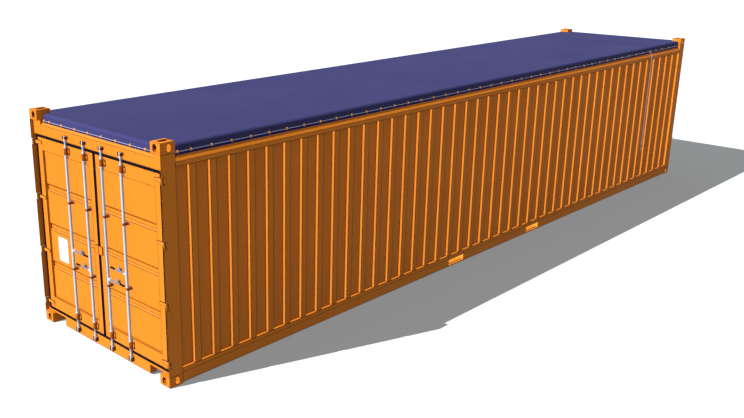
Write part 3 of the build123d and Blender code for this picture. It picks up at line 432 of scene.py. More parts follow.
def rope_fibre(name):
    """Laid white rope: slanted strands from the tube's own along and round values."""
    material, tree, shader = start_material(name)
    along, around = (tree.add("ShaderNodeAttribute", attribute_name=label).outputs["Fac"]
                     for label in ("along", "around"))
    turns = tree.math("ADD", tree.math("MULTIPLY", along, 26.0), around)
    phase = tree.math("MULTIPLY", tree.math("MULTIPLY", turns, 3.0), pi)
    wave = tree.math("ABSOLUTE", tree.math("SINE", phase))
    fuzz = tree.noise(tree.place(), 900.0, 3.0, 0.6)
    shade = tree.math("ADD", tree.math("MULTIPLY", wave, 0.75), tree.math("MULTIPLY", fuzz, 0.25))
    # Darker where the strands meet: painted shade between the strands.
    base = tree.mix(tree.span(shade, 0.05, 0.6), linear(150, 152, 178), linear(174, 178, 206))
    tree.fill(shader, {"Base Color": base, "Roughness": 0.8,
                       "Normal": tree.bump(wave, 0.5, 0.0012)})
    return material


PAINT = painted_steel("orange_topcoat")
WALL_PAINT = painted_steel("wall_topcoat", (247, 143, 41), (241, 138, 38), 0.011, 1.0, 0.7)
HARDWARE_PAINT = painted_steel("hardware_paint", (182, 90, 30), (168, 80, 24), 0.004, 0.7)
KEEPER_PAINT = painted_steel("keeper_paint", (136, 68, 28), (120, 58, 22), 0.004)
BLADE_PAINT = painted_steel("hinge_paint", (255, 158, 52), (252, 152, 46), 0.017)
LUG_PAINT = painted_steel("hinge_lug_paint", (255, 158, 52), (252, 152, 46), 0.004)
POCKET_PAINT = painted_steel("pocket_paint", (255, 166, 58), (252, 160, 52), 0.006, 0.6, 0.2)
STAPLE_PAINT = painted_steel("staple_paint", (255, 169, 55), (250, 158, 46), 0.0015, 0.4)
CASTING = cast_steel("casting_paint")
# Darker copy of the casting paint for the cavity walls: painted shade inside the holes.
CASTING_CAVITY_SHADE = cast_steel("casting_cavity_painted_shade", (96, 46, 14), (72, 34, 12))
ZINC = zinc_steel("galvanised_bar")
DULL_ZINC = zinc_steel("galvanised_fitting", (150, 164, 184), (126, 138, 158), 0.45, 0.1, 1.0)
GASKET = rubber("door_gasket_rubber", (3, 5, 18))
GRIP = rubber("grip_rubber", (10, 10, 16), 0.5)
PLATE = bare_plate("blank_plate_enamel")
BOARDS = plywood("floor_plywood_sheets")
CLOTH = cover_cloth("cover_cloth_blue")
ROPE = rope_fibre("laid_rope")

FINISH_BY_SLOT = {
    "painted_steel": PAINT,
    "casting_steel": CASTING,
    "tarpaulin_cloth": CLOTH,
    "rope": ROPE,
    "gasket_rubber": GASKET,
    "galvanised_steel": ZINC,
    "grip_rubber": GRIP,
    "catch_steel": DULL_ZINC,
    "plate_white": PLATE,
    "floor_plywood": BOARDS,
}
FINISH_BY_NODE = {
    "left_side_wall": WALL_PAINT,
    "right_side_wall": WALL_PAINT,
    "front_wall": WALL_PAINT,
    "left_door_hinges": BLADE_PAINT,
    "right_door_hinges": BLADE_PAINT,
    "hinge_lugs": LUG_PAINT,
    "fork_pockets": POCKET_PAINT,
}


def dress(thing, finish):
    """Gives a mesh or curve this one finish."""
    thing.data.materials.clear()
    thing.data.materials.append(finish)


for part in frame["record"]["subparts"]:
    label = part["node"]
    dress(nodes[label], FINISH_BY_NODE.get(label, FINISH_BY_SLOT[part["material_slot"]]))


def in_scene(name, data):
    """A new object with this data, linked to the scene."""
    thing = bpy.data.objects.new(name, data)
    bpy.context.scene.collection.objects.link(thing)
    return thing


def place_piece(name, mesh, finish, body="frame"):
    """A finished mesh as an object at the origin that rides on a body."""
    piece = in_scene(name, mesh)
    if finish is not None:
        dress(piece, finish)
    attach(piece, body)
    return piece


# Shapes

# Where the two values of an outline and the level along the axis go
AXIS_ORDER = {"x": lambda a, b, level: (level, a, b), "y": lambda a, b, level: (a, level, b),
              "z": lambda a, b, level: (a, b, level)}


def join_rings(shape, rings):
    """Faces between each ring of points and the next."""
    for near, far in zip(rings, rings[1:]):
        for step, vert in enumerate(near):
            other = (step + 1) % len(near)
            shape.faces.new((vert, near[other], far[other], far[step]))


def closed_shape(shape, rings):
    """The shape with faces between its rings and over the first and last one."""
    join_rings(shape, rings)
    shape.faces.new(rings[0][::-1])
    shape.faces.new(rings[-1])
    return shape


def rectangle(low_a, low_b, high_a, high_b):
    """Outline from one corner to the opposite one."""
    return [(low_a, low_b), (high_a, low_b), (high_a, high_b), (low_a, high_b)]


def prism(outline, low, high, axis="z"):
    """A closed straight shape with this outline across an axis, from low to high along it."""
    shape = bmesh.new()
    order = AXIS_ORDER[axis]
    return closed_shape(shape, [[shape.verts.new(order(a, b, level)) for a, b in outline]
                                for level in (low, high)])


def lathed(centre, stations, axis="z", sides=24):
    """A closed round shape about an axis, from pairs of a place along it and a radius."""
    shape = bmesh.new()
    order = AXIS_ORDER[axis]
    turns = [2 * pi * step / sides for step in range(sides)]
    return closed_shape(shape, [
        [shape.verts.new(order(centre[0] + radius * cos(turn), centre[1] + radius * sin(turn),
                               level)) for turn in turns] for level, radius in stations])


def rounded_slot(centre, wide, tall, steps=10):
    """Round-ended outline about a centre, upright where it is taller than wide."""
    radius = min(wide, tall) / 2
    reach = max(wide, tall) / 2 - radius
    half = [(radius * cos(pi * step / steps), reach + radius * sin(pi * step / steps))
            for step in range(steps + 1)]
    around = half + [(-a, -b) for a, b in half]
    if wide > tall:
        around = [(b, -a) for a, b in around]
    return [(centre[0] + a, centre[1] + b) for a, b in around]


def smoothed(mesh, angle=32.0):
    """Smooth shading, kept sharp at real corners."""
    for face in mesh.polygons:
        face.use_smooth = True
    mesh.set_sharp_from_angle(angle=radians(angle))
    return mesh


def made_mesh(shape, name):
    """The mesh of a shape that is done with."""
    mesh = bpy.data.meshes.new(name)
    shape.to_mesh(mesh)
    shape.free()
    return mesh


def pour(shape, whole):
    """Adds a shape that is done with to another one."""
    carrier = made_mesh(shape, "carrier")
    whole.from_mesh(carrier)
    bpy.data.meshes.remove(carrier)


def soften_edges(shape, edges, width, segments):
    """Rounds these edges of a shape."""
    bmesh.ops.bevel(shape, geom=edges, offset=width, offset_type="OFFSET", segments=segments,
                    profile=0.5, affect="EDGES", clamp_overlap=True)


class Fitting:
    """Collects closed shapes, each with its edges softened, into one mesh."""

    def __init__(self):
        self.whole = bmesh.new()

    def add(self, shape, soften=0.0, segments=2):
        bmesh.ops.recalc_face_normals(shape, faces=shape.faces)
        if soften:
            sharp = [edge for edge in shape.edges if edge.calc_face_angle(0.0) > radians(28)]
            soften_edges(shape, sharp, soften, segments)
        pour(shape, self.whole)

    def mesh(self, name):
        return smoothed(made_mesh(self.whole, name))


def read_result(thing):
    """The object's mesh with all its modifiers done, and the object removed."""
    seen = thing.evaluated_get(bpy.context.evaluated_depsgraph_get())
    mesh = bpy.data.meshes.new_from_object(seen)
    bpy.data.objects.remove(thing)
    return mesh


# Corner castings

def carved_casting():
    """The casting of the closed end, left and top: a rounded block, hollow, with three holes."""
    low_x, low_y, low_z = HALF_LONG - CAST_LONG, HALF_WIDE - CAST_WIDE, TALL - CAST_TALL
    outside = Fitting()
    outside.add(prism(rectangle(low_x, low_y, HALF_LONG, HALF_WIDE), low_z, TALL), 0.0025)
    whole = in_scene("casting_block", outside.mesh("casting_block"))
    slot_x, slot_y = HALF_LONG - SLOT_FROM_END, HALF_WIDE - SLOT_FROM_SIDE
    middle = TALL - CAST_TALL / 2
    cavity = rectangle(low_x + CAST_WALL, low_y + CAST_WALL, HALF_LONG - CAST_WALL,
                       HALF_WIDE - CAST_WALL)
    cuts = [prism(cavity, low_z + CAST_PLATE, TALL - CAST_PLATE),
            prism(rounded_slot((slot_x, slot_y), *TOP_SLOT), middle, TALL + 0.02),
            prism(rounded_slot((slot_x, middle), *SIDE_HOLE), HALF_WIDE - 0.06,
                  HALF_WIDE + 0.02, "y"),
            prism(rounded_slot((slot_y, middle), *END_HOLE), HALF_LONG - 0.06,
                  HALF_LONG + 0.02, "x")]
    tools = []
    for index, cut in enumerate(cuts):
        tool = Fitting()
        tool.add(cut)
        tools.append(in_scene("casting_cut_%d" % index, tool.mesh("casting_cut")))
        step = whole.modifiers.new("cut", "BOOLEAN")
        step.operation = "DIFFERENCE"
        step.solver = "EXACT"
        step.object = tools[-1]
    mesh = read_result(whole)
    for tool in tools:
        bpy.data.objects.remove(tool)
    return mesh


def faces_cavity(face):
    """Whether a casting's face is a wall of its cavity that looks across the container, where
    shade is painted.
    """
    x, y, z = (abs(value) for value in face.center)
    level = z if z > TALL / 2 else TALL - z
    inside = (HALF_LONG - CAST_LONG + 0.006 < x < HALF_LONG - 0.010
              and HALF_WIDE - CAST_WIDE + 0.006 < y < HALF_WIDE - 0.010
              and TALL - CAST_TALL + 0.006 < level < TALL - 0.006)
    return inside and abs(face.normal.y) > 0.5


def place_castings():
    """Four mirrored castings at the top and four at the bottom."""
    one = carved_casting()
    for level, label in ((1, "top"), (-1, "bottom")):
        group = bmesh.new()
        for way_x in (-1, 1):
            for way_y in (-1, 1):
                copy = bmesh.new()
                copy.from_mesh(one)
                for vert in copy.verts:
                    x, y, z = vert.co
                    vert.co = (x * way_x, y * way_y, z if level > 0 else TALL - z)
                if way_x * way_y * level < 0:
                    bmesh.ops.reverse_faces(copy, faces=copy.faces)
                pour(copy, group)
        mesh = smoothed(made_mesh(group, label + "_castings"))
        piece = place_piece(label + "_castings", mesh, CASTING, "frame")
        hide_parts(label + "_corner_castings")
        # Cavity walls that look across the container take the darker copy: painted shade.
        piece.data.materials.append(CASTING_CAVITY_SHADE)
        for face in piece.data.polygons:
            face.material_index = 1 if faces_cavity(face) else 0
    bpy.data.meshes.remove(one)


place_castings()


# Lock bars and their fittings

def rounded_end(tip, way, half, root, height, steps=8):
    """Outline of a lug from a root line to a half-round end, across and up."""
    turns = [-pi / 2 + pi * step / steps for step in range(steps + 1)]
    end = [(tip + way * half * cos(turn), height + half * sin(turn)) for turn in turns]
    return [(root, height - half)] + end + [(root, height + half)]


def lock_bar_mesh(bar_y, way, height):
    """One bar: smooth tube, collars, waisted necks, cam heads, handle ears and pivot pin."""
    bar = Fitting()
    bar.add(lathed((BAR_AXIS, bar_y), BAR_STATIONS))
    head = rectangle(BAR_AXIS - 0.010, bar_y - 0.018, BAR_AXIS + 0.010, bar_y + 0.018)
    for low, high in KEEPERS:
        bar.add(prism(head, low + 0.003, high - 0.003), 0.005, 3)
    pivot = bar_y + way * PIVOT_OUT
    for near in (-0.0116, 0.0056):
        lug = rounded_end(pivot, way, 0.013, bar_y, height)
        bar.add(prism(lug, BAR_AXIS + near, BAR_AXIS + near + 0.006, "x"), 0.0015)
    pin = ((-0.0145, 0.005), (-0.0135, 0.0068), (-0.0118, 0.0068), (-0.0116, 0.0045),
           (0.0118, 0.0045))
    bar.add(lathed((pivot, height), [(BAR_AXIS + along, radius) for along, radius in pin], "x",
                   16))
    return bar.mesh("lock_bar")


def lever_mesh(bar_y, way, height):
    """Forged flat handle that tapers from its pivot eye to the grip."""
    pivot = bar_y + way * PIVOT_OUT
    neck = bar_y + way * (HANDLE_OUT - GRIP_LONG)
    tip = bar_y + way * (HANDLE_OUT - 0.010)
    turns = [pi / 2 + pi * step / 8 for step in range(9)]
    eye = [(pivot + way * 0.011 * cos(turn), height + 0.011 * sin(turn)) for turn in turns]
    low = [(pivot + (neck - pivot) * share, height - half) for share, half in LEVER_TAPER]
    low.append((tip, height - LEVER_TAPER[-1][1]))
    high = [(across, 2 * height - up) for across, up in reversed(low)]
    lever = Fitting()
    lever.add(prism(eye + low + high, BAR_AXIS - 0.005, BAR_AXIS + 0.005, "x"), 0.0022, 3)
    return lever.mesh("handle_lever")


def sleeve_mesh(bar_y, way, height):
    """Moulded grip with a collar, finger ridges and a rounded end."""
    start = bar_y + way * (HANDLE_OUT - GRIP_LONG)
    wide, tall, sides = 0.009, 0.011, 20
    levels = [(0.000, 0.96), (0.003, 1.0), (0.008, 1.0), (0.010, 0.88)]
    for ridge in range(4):
        base = 0.014 + ridge * 0.014
        levels += [(base, 0.88), (base + 0.004, 0.98), (base + 0.009, 0.98)]
    levels += [(0.070, 0.88), (0.074, 0.98), (0.080, 0.92), (0.084, 0.70)]

    def squared(value):
        return abs(value) ** 0.62 * (1 if value > 0 else -1)

    plan = [(squared(cos(2 * pi * step / sides)), squared(sin(2 * pi * step / sides)))
            for step in range(sides)]
    shape = bmesh.new()
    grip = Fitting()
    grip.add(closed_shape(shape, [
        [shape.verts.new((BAR_AXIS + wide * size * across, start + way * along,
                          height + tall * size * up)) for across, up in plan]
        for along, size in levels]))
    return grip.mesh("grip_sleeve")


def place_bars():
    """Each bar with its lever and grip, in place of the plain ones."""
    for index, spot in enumerate(zip(BAR_PLACES, BAR_WAYS, HANDLE_HEIGHTS)):
        number = str(index + 1)
        bar = place_piece("bar_" + number, lock_bar_mesh(*spot), ZINC, "lock_bar_" + number)
        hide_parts("lock_bar_" + number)
        lever = place_piece("lever_" + number, lever_mesh(*spot), DULL_ZINC, "handle_" + number)
        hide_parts("handle_" + number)
        sleeve = place_piece("grip_" + number, sleeve_mesh(*spot), GRIP, "handle_" + number)
        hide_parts("handle_grip_" + number)


place_bars()


def clamp_outline(bar_y, half, back):
    """Plan of a clamp: flattened half round in front of its bar, straight sides to the leaf."""
    deep = min(half, 0.0188)
    front = [(BAR_AXIS - deep * sin(pi * step / 12), bar_y + half * cos(pi * step / 12))
             for step in range(13)]
    return [(back, bar_y + half)] + front + [(back, bar_y - half)]


def open_clamp(fitting, bar_y, half, back, low, high, soften):
    """A clamp round a bar, bored to the bar's size."""
    outer = clamp_outline(bar_y, half, back)
    bore = BAR_RADIUS + 0.0005
    inner = [(BAR_AXIS - bore * sin(2 * pi * step / 24), bar_y + bore * cos(2 * pi * step / 24))
             for step in range(24)]
    shape = bmesh.new()
    rims = [[[shape.verts.new((x, y, level)) for x, y in line] for line in (outer, inner)]
            for level in (low, high)]
    for pair in zip(*rims):
        join_rings(shape, pair)
    for lines in rims:
        edges = [shape.edges.get((vert, line[(step + 1) % len(line)]))
                 for line in lines for step, vert in enumerate(line)]
        bmesh.ops.triangle_fill(shape, edges=edges, use_beauty=True)
    bmesh.ops.recalc_face_normals(shape, faces=shape.faces)
    rim_edges = [edge for edge in shape.edges
                 if edge.calc_face_angle(0.0) > radians(60)
                 and abs(edge.verts[0].co.z - edge.verts[1].co.z) < 1e-6]
    soften_edges(shape, rim_edges, soften, 2)
    fitting.add(shape)


def flanges_mesh(indices):
    """Flat plates that carry the end clamps, welded to one leaf."""
    flanges = Fitting()
    for bar_y in (BAR_PLACES[index] for index in indices):
        for low, high in END_CLAMPS:
            plate = rectangle(bar_y - FLANGE_HALF, low, bar_y + FLANGE_HALF, high)
            flanges.add(prism(plate, LEAF_PLANE - FLANGE_THICK, LEAF_PLANE, "x"), 0.0022)
    return flanges.mesh("clamp_flanges")


def clamps_mesh(indices):
    """End clamps and thin straps on small feet, for one leaf's bars."""
    clamps = Fitting()
    for index in indices:
        bar_y = BAR_PLACES[index]
        for low, high in END_CLAMPS:
            open_clamp(clamps, bar_y, 0.0235, LEAF_PLANE - 0.006, low, high, 0.0018)
        for height in STRAP_HEIGHTS[index]:
            open_clamp(clamps, bar_y, 0.0190, PANEL_PLANE - 0.002, height - 0.014,
                       height + 0.014, 0.0008)
            foot = rounded_slot((bar_y, height), 0.080, 0.028, 8)
            clamps.add(prism(foot, PANEL_PLANE - FOOT_THICK, PANEL_PLANE, "x"), 0.001)
    return clamps.mesh("bar_clamps")


def keeper_mesh():
    """Keepers of the bar heads: two cheeks, each with a short lip in front."""
    keepers = Fitting()
    face, lip = -HALF_LONG, -HALF_LONG + 0.004
    for low, high in KEEPERS:
        for bar_y in BAR_PLACES:
            for way in (-1, 1):
                edge = bar_y + way * 0.027
                wall, end = edge - way * 0.005, edge - way * 0.014
                cheek = [(face, edge), (LEAF_PLANE, edge), (LEAF_PLANE, wall), (lip, wall),
                         (lip, end), (face, end)]
                keepers.add(prism(cheek, low, high), 0.0014)
    return keepers.mesh("keeper_blocks")


def catches_mesh(indices):
    """Retainers that carry the locked handles: a shelf in front and a finger behind."""
    catches = Fitting()
    share = (CATCH_OUT - PIVOT_OUT) / (HANDLE_OUT - GRIP_LONG - PIVOT_OUT)
    rest = 0.011 + (0.007 - 0.011) * share + 0.001
    face = -HALF_LONG + 0.030
    front, back = -HALF_LONG + 0.012, face + 0.006
    side = [(PANEL_PLANE, -0.030), (face, -rest - 0.006), (front, -rest - 0.006), (front, -rest),
            (face, -rest), (face, 0.048), (back, 0.048), (back, 0.030), (PANEL_PLANE, 0.0)]
    for index in indices:
        middle = BAR_PLACES[index] + BAR_WAYS[index] * CATCH_OUT
        outline = [(x, HANDLE_HEIGHTS[index] + up) for x, up in side]
        catches.add(prism(outline, middle - 0.011, middle + 0.011, "y"), 0.0012)
    return catches.mesh("handle_retainers")


def place_pocket_cheeks():
    """Side plates just inside each mouth of the two fork tunnels."""
    cheeks = Fitting()
    for middle in TUNNEL_PLACES:
        for way in (-1, 1):
            near, far = sorted(middle + way * reach for reach in TUNNEL_CHEEK)
            for side in (-1, 1):
                inner, outer = sorted((side * 0.850, side * (HALF_WIDE - 0.0045)))
                cheeks.add(prism(rectangle(near, inner, far, outer), *TUNNEL_HEIGHTS))
    place_piece("pocket_cheeks", cheeks.mesh("pocket_cheeks"), POCKET_PAINT)


place_pocket_cheeks()


def place_fittings():
    """What holds the bars and handles, on both leaves and on the frame."""
    for side, _, indices in SIDES:
        body = "door_" + side
        clamps = place_piece(side + "_clamps", clamps_mesh(indices), HARDWARE_PAINT, body)
        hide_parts(side + "_bar_brackets")
        place_piece(side + "_clamp_flanges", flanges_mesh(indices), BLADE_PAINT, body)
        catches = place_piece(side + "_retainers", catches_mesh(indices), DULL_ZINC, body)
        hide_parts(side + "_handle_catches")
    keepers = place_piece("keeper_blocks", keeper_mesh(), KEEPER_PAINT, "frame")
    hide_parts("bar_keepers")


place_fittings()


# Door seals

SEAL_OUTER = ((-0.007, -0.0030), (-0.004, -0.0052), (0.001, -0.0052), (0.003, -0.0035),
              (0.006, -0.0035), (0.008, -0.0056), (0.013, -0.0056), (0.015, -0.0035),
              (0.018, -0.0035), (0.020, -0.0052), (0.0225, -0.0045), (0.0235, -0.0010),
              (0.018, 0.0), (0.018, 0.050), (0.0005, 0.050), (0.0005, -0.0004),
              (-0.006, -0.0004))
SEAL_INNER = ((-0.005, -0.0025), (-0.003, -0.0045), (0.002, -0.0045), (0.004, -0.0030),
              (0.007, -0.0030), (0.009, -0.0048), (0.0125, -0.0040), (0.0130, 0.0),
              (0.0130, 0.050), (0.0005, 0.050), (0.0005, -0.0004), (-0.004, -0.0004))


def seal_mesh(side):
    """Rubber seal of one leaf: a body in the gap and a ribbed lip over both edges of it."""
    inner = SEAL_INNER + SEAL_INNER[-1:] * (len(SEAL_OUTER) - len(SEAL_INNER))
    shape = bmesh.new()
    rings = []
    for edge_y, edge_z, across, way_y, way_z in (
            (LEAF_OUTER, LEAF_LOW, SEAL_OUTER, 1, -1), (LEAF_OUTER, LEAF_HIGH, SEAL_OUTER, 1, 1),
            (LEAF_INNER, LEAF_HIGH, inner, -1, 1), (LEAF_INNER, LEAF_LOW, inner, -1, -1)):
        rings.append([shape.verts.new((LEAF_PLANE + (depth + other_depth) / 2,
                                       side * (edge_y + way_y * out_y), edge_z + way_z * out_z))
                      for (out_z, depth), (out_y, other_depth) in zip(SEAL_OUTER, across)])
    join_rings(shape, rings + rings[:1])
    seal = Fitting()
    seal.add(shape)
    return seal.mesh("door_seal")


for side_name, side_way, side_bars in SIDES:
    seal = place_piece(side_name + "_door_seal", seal_mesh(side_way), GASKET,
                       "door_" + side_name)
    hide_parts(side_name + "_door_gasket")


# Small fasteners

def end_form(tree, out, given, shape, facing):
    """The shape at every place, turned, made real and given its finish, as each form ends."""
    spread = tree.add("GeometryNodeInstanceOnPoints", {
        "Points": given["Places"], "Instance": shape, "Rotation": facing})
    real = tree.add("GeometryNodeRealizeInstances", {0: spread.outputs[0]})
    finish = tree.add("GeometryNodeSetMaterial", {"Geometry": real.outputs[0],
                                                  "Material": given["Finish"]})
    tree.put(out["Pieces"], finish.outputs[0])


def bolt_form():
    """Hexagonal or round heads on washers at given places, all facing one way."""
    form, tree, given, out = start_group("bolt_heads", "GeometryNodeTree", [
        ("Places", "Geometry", None), ("Head Radius", "Float", 0.007),
        ("Head Tall", "Float", 0.005), ("Head Sides", "Int", 6),
        ("Washer Radius", "Float", 0.010), ("Washer Tall", "Float", 0.0015),
        ("Facing", "Vector", (0.0, 0.0, 0.0)), ("Finish", "Material", None)],
        [("Pieces", "Geometry")])
    both = tree.add("GeometryNodeJoinGeometry")
    for part, sides in (("Head", given["Head Sides"]), ("Washer", 14)):
        tall = given[part + " Tall"]
        post = tree.add("GeometryNodeMeshCylinder", {
            "Vertices": sides, "Radius": given[part + " Radius"], "Depth": tall})
        lift = tree.math("MULTIPLY", tall, 0.5)
        if part == "Head":
            lift = tree.math("ADD", lift, given["Washer Tall"])
        spot = tree.add("ShaderNodeCombineXYZ", {"Z": lift})
        moved = tree.add("GeometryNodeTransform", {"Geometry": post.outputs["Mesh"],
                                                   "Translation": spot.outputs[0]})
        tree.put(both.inputs[0], moved.outputs[0])
    end_form(tree, out, given, both.outputs[0], given["Facing"])
    return form


def bent_wire(tree, course, radius, sides, caps):
    """A round wire along a course."""
    ring = tree.add("GeometryNodeCurvePrimitiveCircle", {"Resolution": sides, "Radius": radius})
    return tree.add("GeometryNodeCurveToMesh", {
        "Curve": course.outputs["Curve"], "Profile Curve": ring.outputs["Curve"],
        "Fill Caps": caps}).outputs["Mesh"]


def staple_form():
    """Rounded loops over the rope, each on a round eyelet, turned to face out of the skirt."""
    form, tree, given, out = start_group("rope_staples", "GeometryNodeTree", [
        ("Places", "Geometry", None), ("Loop Radius", "Float", 0.013),
        ("Wire Radius", "Float", 0.0035), ("Loop Spread", "Float", 3.2),
        ("Eyelet Radius", "Float", 0.015), ("Eyelet Wire", "Float", 0.0022),
        ("Finish", "Material", None)], [("Pieces", "Geometry")])
    arc = tree.add("GeometryNodeCurveArc", {
        "Resolution": 12, "Radius": given["Loop Radius"], "Start Angle": -pi / 2,
        "Sweep Angle": pi}, mode="RADIUS")
    stretch = tree.add("ShaderNodeCombineXYZ", {"X": 1.0, "Y": 1.0, "Z": given["Loop Spread"]})
    upright = tree.add("GeometryNodeTransform", {
        "Geometry": bent_wire(tree, arc, given["Wire Radius"], 8, True),
        "Scale": stretch.outputs[0]})
    stand = tree.add("GeometryNodeTransform", {"Geometry": upright.outputs[0],
                                               "Rotation": (pi / 2, 0.0, 0.0)})
    rim = tree.add("GeometryNodeCurvePrimitiveCircle", {"Resolution": 20,
                                                        "Radius": given["Eyelet Radius"]})
    flat = tree.add("GeometryNodeTransform", {
        "Geometry": bent_wire(tree, rim, given["Eyelet Wire"], 6, False),
        "Rotation": (0.0, pi / 2, 0.0)})
    both = tree.add("GeometryNodeJoinGeometry")
    tree.put(both.inputs[0], stand.outputs[0])
    tree.put(both.inputs[0], flat.outputs[0])
    turn = tree.add("GeometryNodeInputNamedAttribute", {"Name": "turn"}, data_type="FLOAT")
    facing = tree.add("ShaderNodeCombineXYZ", {"Z": turn.outputs["Attribute"]})
    end_form(tree, out, given, both.outputs[0], facing.outputs[0])
    return form


BOLTS = bolt_form()
STAPLES = staple_form()
FACING_DOOR_END = (0.0, -pi / 2, 0.0)
FACING_UP = (0.0, 0.0, 0.0)


def grown(name, form, places, values, turns=None):
    """The plain mesh that a form makes at these places."""
    mesh = bpy.data.meshes.new(name)
    mesh.from_pydata(places, [], [])
    if turns:
        mesh.attributes.new("turn", "FLOAT", "POINT").data.foreach_set("value", turns)
    holder = in_scene(name, mesh)
    step = holder.modifiers.new(name, "NODES")
    step.node_group = form
    for item in form.interface.items_tree:
        if item.name in values:
            step[item.identifier] = values[item.name]
    return smoothed(read_result(holder), 40.0)


def place_heads(name, places, body, finish, sizes, facing=FACING_DOOR_END):
    """Bolts, rivets or screws of one size at these places, as a piece of a body."""
    values = dict(zip(("Head Radius", "Head Tall", "Head Sides", "Washer Radius", "Washer Tall"),
                      sizes), Facing=facing, Finish=finish)
    place_piece(name, grown(name, BOLTS, places, values), None, body)


def place_fasteners():
    """Bolts of the clamps and straps, rivets of the plate and screws of the floor."""
    bolt = (0.0062, 0.004, 6, 0.0085, 0.0012)
    for side, _, indices in SIDES:
        flange_spots, foot_spots = [], []
        for index in indices:
            bar_y = BAR_PLACES[index]
            for low, high in END_CLAMPS:
                flange_spots += [(LEAF_PLANE - FLANGE_THICK, bar_y + out, z)
                                 for out in (-FLANGE_BOLT_OUT, FLANGE_BOLT_OUT)
                                 for z in (low + FLANGE_BOLT_IN, high - FLANGE_BOLT_IN)]
            foot_spots += [(PANEL_PLANE - FOOT_THICK, bar_y + out, z)
                           for out in (-FOOT_BOLT_OUT, FOOT_BOLT_OUT)
                           for z in STRAP_HEIGHTS[index]]
        place_heads(side + "_clamp_bolts", flange_spots, "door_" + side, BLADE_PAINT, bolt)
        place_heads(side + "_strap_bolts", foot_spots, "door_" + side, DULL_ZINC, bolt)
    corners = [(PANEL_PLANE - 0.002, y, z) for y in PLATE_RIVETS_Y for z in PLATE_RIVETS_Z]
    place_heads("plate_rivets", corners, "door_left", DULL_ZINC,
                (0.0035, 0.0016, 14, 0.0045, 0.0004))
    rows = [(SCREW_START[0] + SCREW_PITCH[0] * row, SCREW_START[1] + SCREW_PITCH[1] * column,
             FLOOR_TOP) for row in range(SCREW_ROWS) for column in range(SCREW_COLUMNS)]
    place_heads("floor_screws", rows, "frame", DULL_ZINC,
                (0.0048, 0.0006, 10, 0.0062, 0.0003), FACING_UP)


place_fasteners()


# Roof cover

def joined_steps(marks, longest):
    """Even steps through several marks, each mark kept and no step much over the longest."""
    values = [marks[0]]
    for low, high in zip(marks, marks[1:]):
        count = max(1, round((high - low) / longest))
        values += [low + (high - low) * index / count for index in range(1, count + 1)]
    return values


def border_marks(edge, notch):
    """Where the cover's grid has a line across one axis: at its borders and close inside them."""
    close = SHOULDER + 0.006
    marks = [notch - close, notch, notch + close, edge - close, edge]
    return [-mark for mark in marks[::-1]] + marks


def bow_sag(x):
    """How far the cloth sinks between two bows at this X, 0 on a bow and 1 midway."""
    share = (x / BOW_PITCH - 0.5) % 1.0
    return sin(pi * share) ** 2


def make_cover():
    """The cover before it is shaped: a flat top, notched at the corners, and straight skirts."""
    steps_x = joined_steps(border_marks(COVER_END, COVER_NOTCH_X), 0.0737)
    steps_y = joined_steps(border_marks(COVER_SIDE, COVER_NOTCH_Y), 0.076)
    shape = bmesh.new()
    points = {}

    def point(i, j):
        if (i, j) not in points:
            points[i, j] = shape.verts.new((steps_x[i], steps_y[j], COVER_TOP))
        return points[i, j]

    for i in range(len(steps_x) - 1):
        for j in range(len(steps_y) - 1):
            middle_x = (steps_x[i] + steps_x[i + 1]) / 2
            middle_y = (steps_y[j] + steps_y[j + 1]) / 2
            if abs(middle_x) > COVER_NOTCH_X and abs(middle_y) > COVER_NOTCH_Y:
                continue
            shape.faces.new((point(i, j), point(i + 1, j), point(i + 1, j + 1), point(i, j + 1)))
    rim = [edge for edge in shape.edges if edge.is_boundary]
    drop = 0.0
    for level in SKIRT_LEVELS:
        lower = bmesh.ops.extrude_edge_only(shape, edges=rim)["geom"]
        for vert in (item for item in lower if isinstance(item, bmesh.types.BMVert)):
            vert.co.z -= level - drop
        rim = [item for item in lower if isinstance(item, bmesh.types.BMEdge)
               and item.is_boundary and abs(item.verts[0].co.z - item.verts[1].co.z) < 1e-6]
        drop = level
    bmesh.ops.recalc_face_normals(shape, faces=shape.faces)
    return made_mesh(shape, "roof_cover")


def on_edge(value, limit):
    """Whether a distance from the middle is that of an edge."""
    return abs(abs(value) - limit) < 1e-4


def outward(x, y):
    """Which way the cover's outline faces at a point on it, across each axis."""
    past_x = abs(x) > COVER_NOTCH_X - 1e-4
    past_y = abs(y) > COVER_NOTCH_Y - 1e-4
    faces_x = on_edge(x, COVER_END) or (on_edge(x, COVER_NOTCH_X) and past_y)
    faces_y = on_edge(y, COVER_SIDE) or (on_edge(y, COVER_NOTCH_Y) and past_x)
    return faces_x * (1 if x > 0 else -1), faces_y * (1 if y > 0 else -1)


def shape_cover(mesh):
    """Rounds the upper edge, lets the top sag, and ripples the skirts between their staples."""
    for vert in mesh.vertices:
        x, y, z = vert.co
        way_x, way_y = outward(x, y)
        down = COVER_TOP - z
        if down < 1e-4:
            inside = min(1.0, (COVER_SIDE - abs(y)) / 0.12, (COVER_END - abs(x)) / 0.12)
            crown = 0.5 - 0.5 * cos(pi * max(0.0, inside))
            z -= BOW_SAG * bow_sag(x) * crown
            x -= way_x * SHOULDER
            y -= way_y * SHOULDER
        else:
            hang = SIDE_HEM if on_edge(y, COVER_SIDE) else END_HEM
            z = COVER_TOP - down * (COVER_TOP - hang) / (COVER_TOP - SIDE_HEM)
            loose = min(1.0, max(0.0, (down - 0.03) / 0.05))
            slant = 0.0025 * min(1.0, down / 0.085)
            along = x if way_y else y
            ripple = 0.0012 * sin(2 * pi * along / STAPLE_PITCH)
            puff = 0.0006 * sin(2 * pi * along / 0.097 + 1.3)
            hem = 0.0012 if down > 0.086 else 0.0
            out = (ripple + puff) * loose + slant + hem
            x += way_x * out
            y += way_y * out
        vert.co = (x, y, z)
    mesh.update()


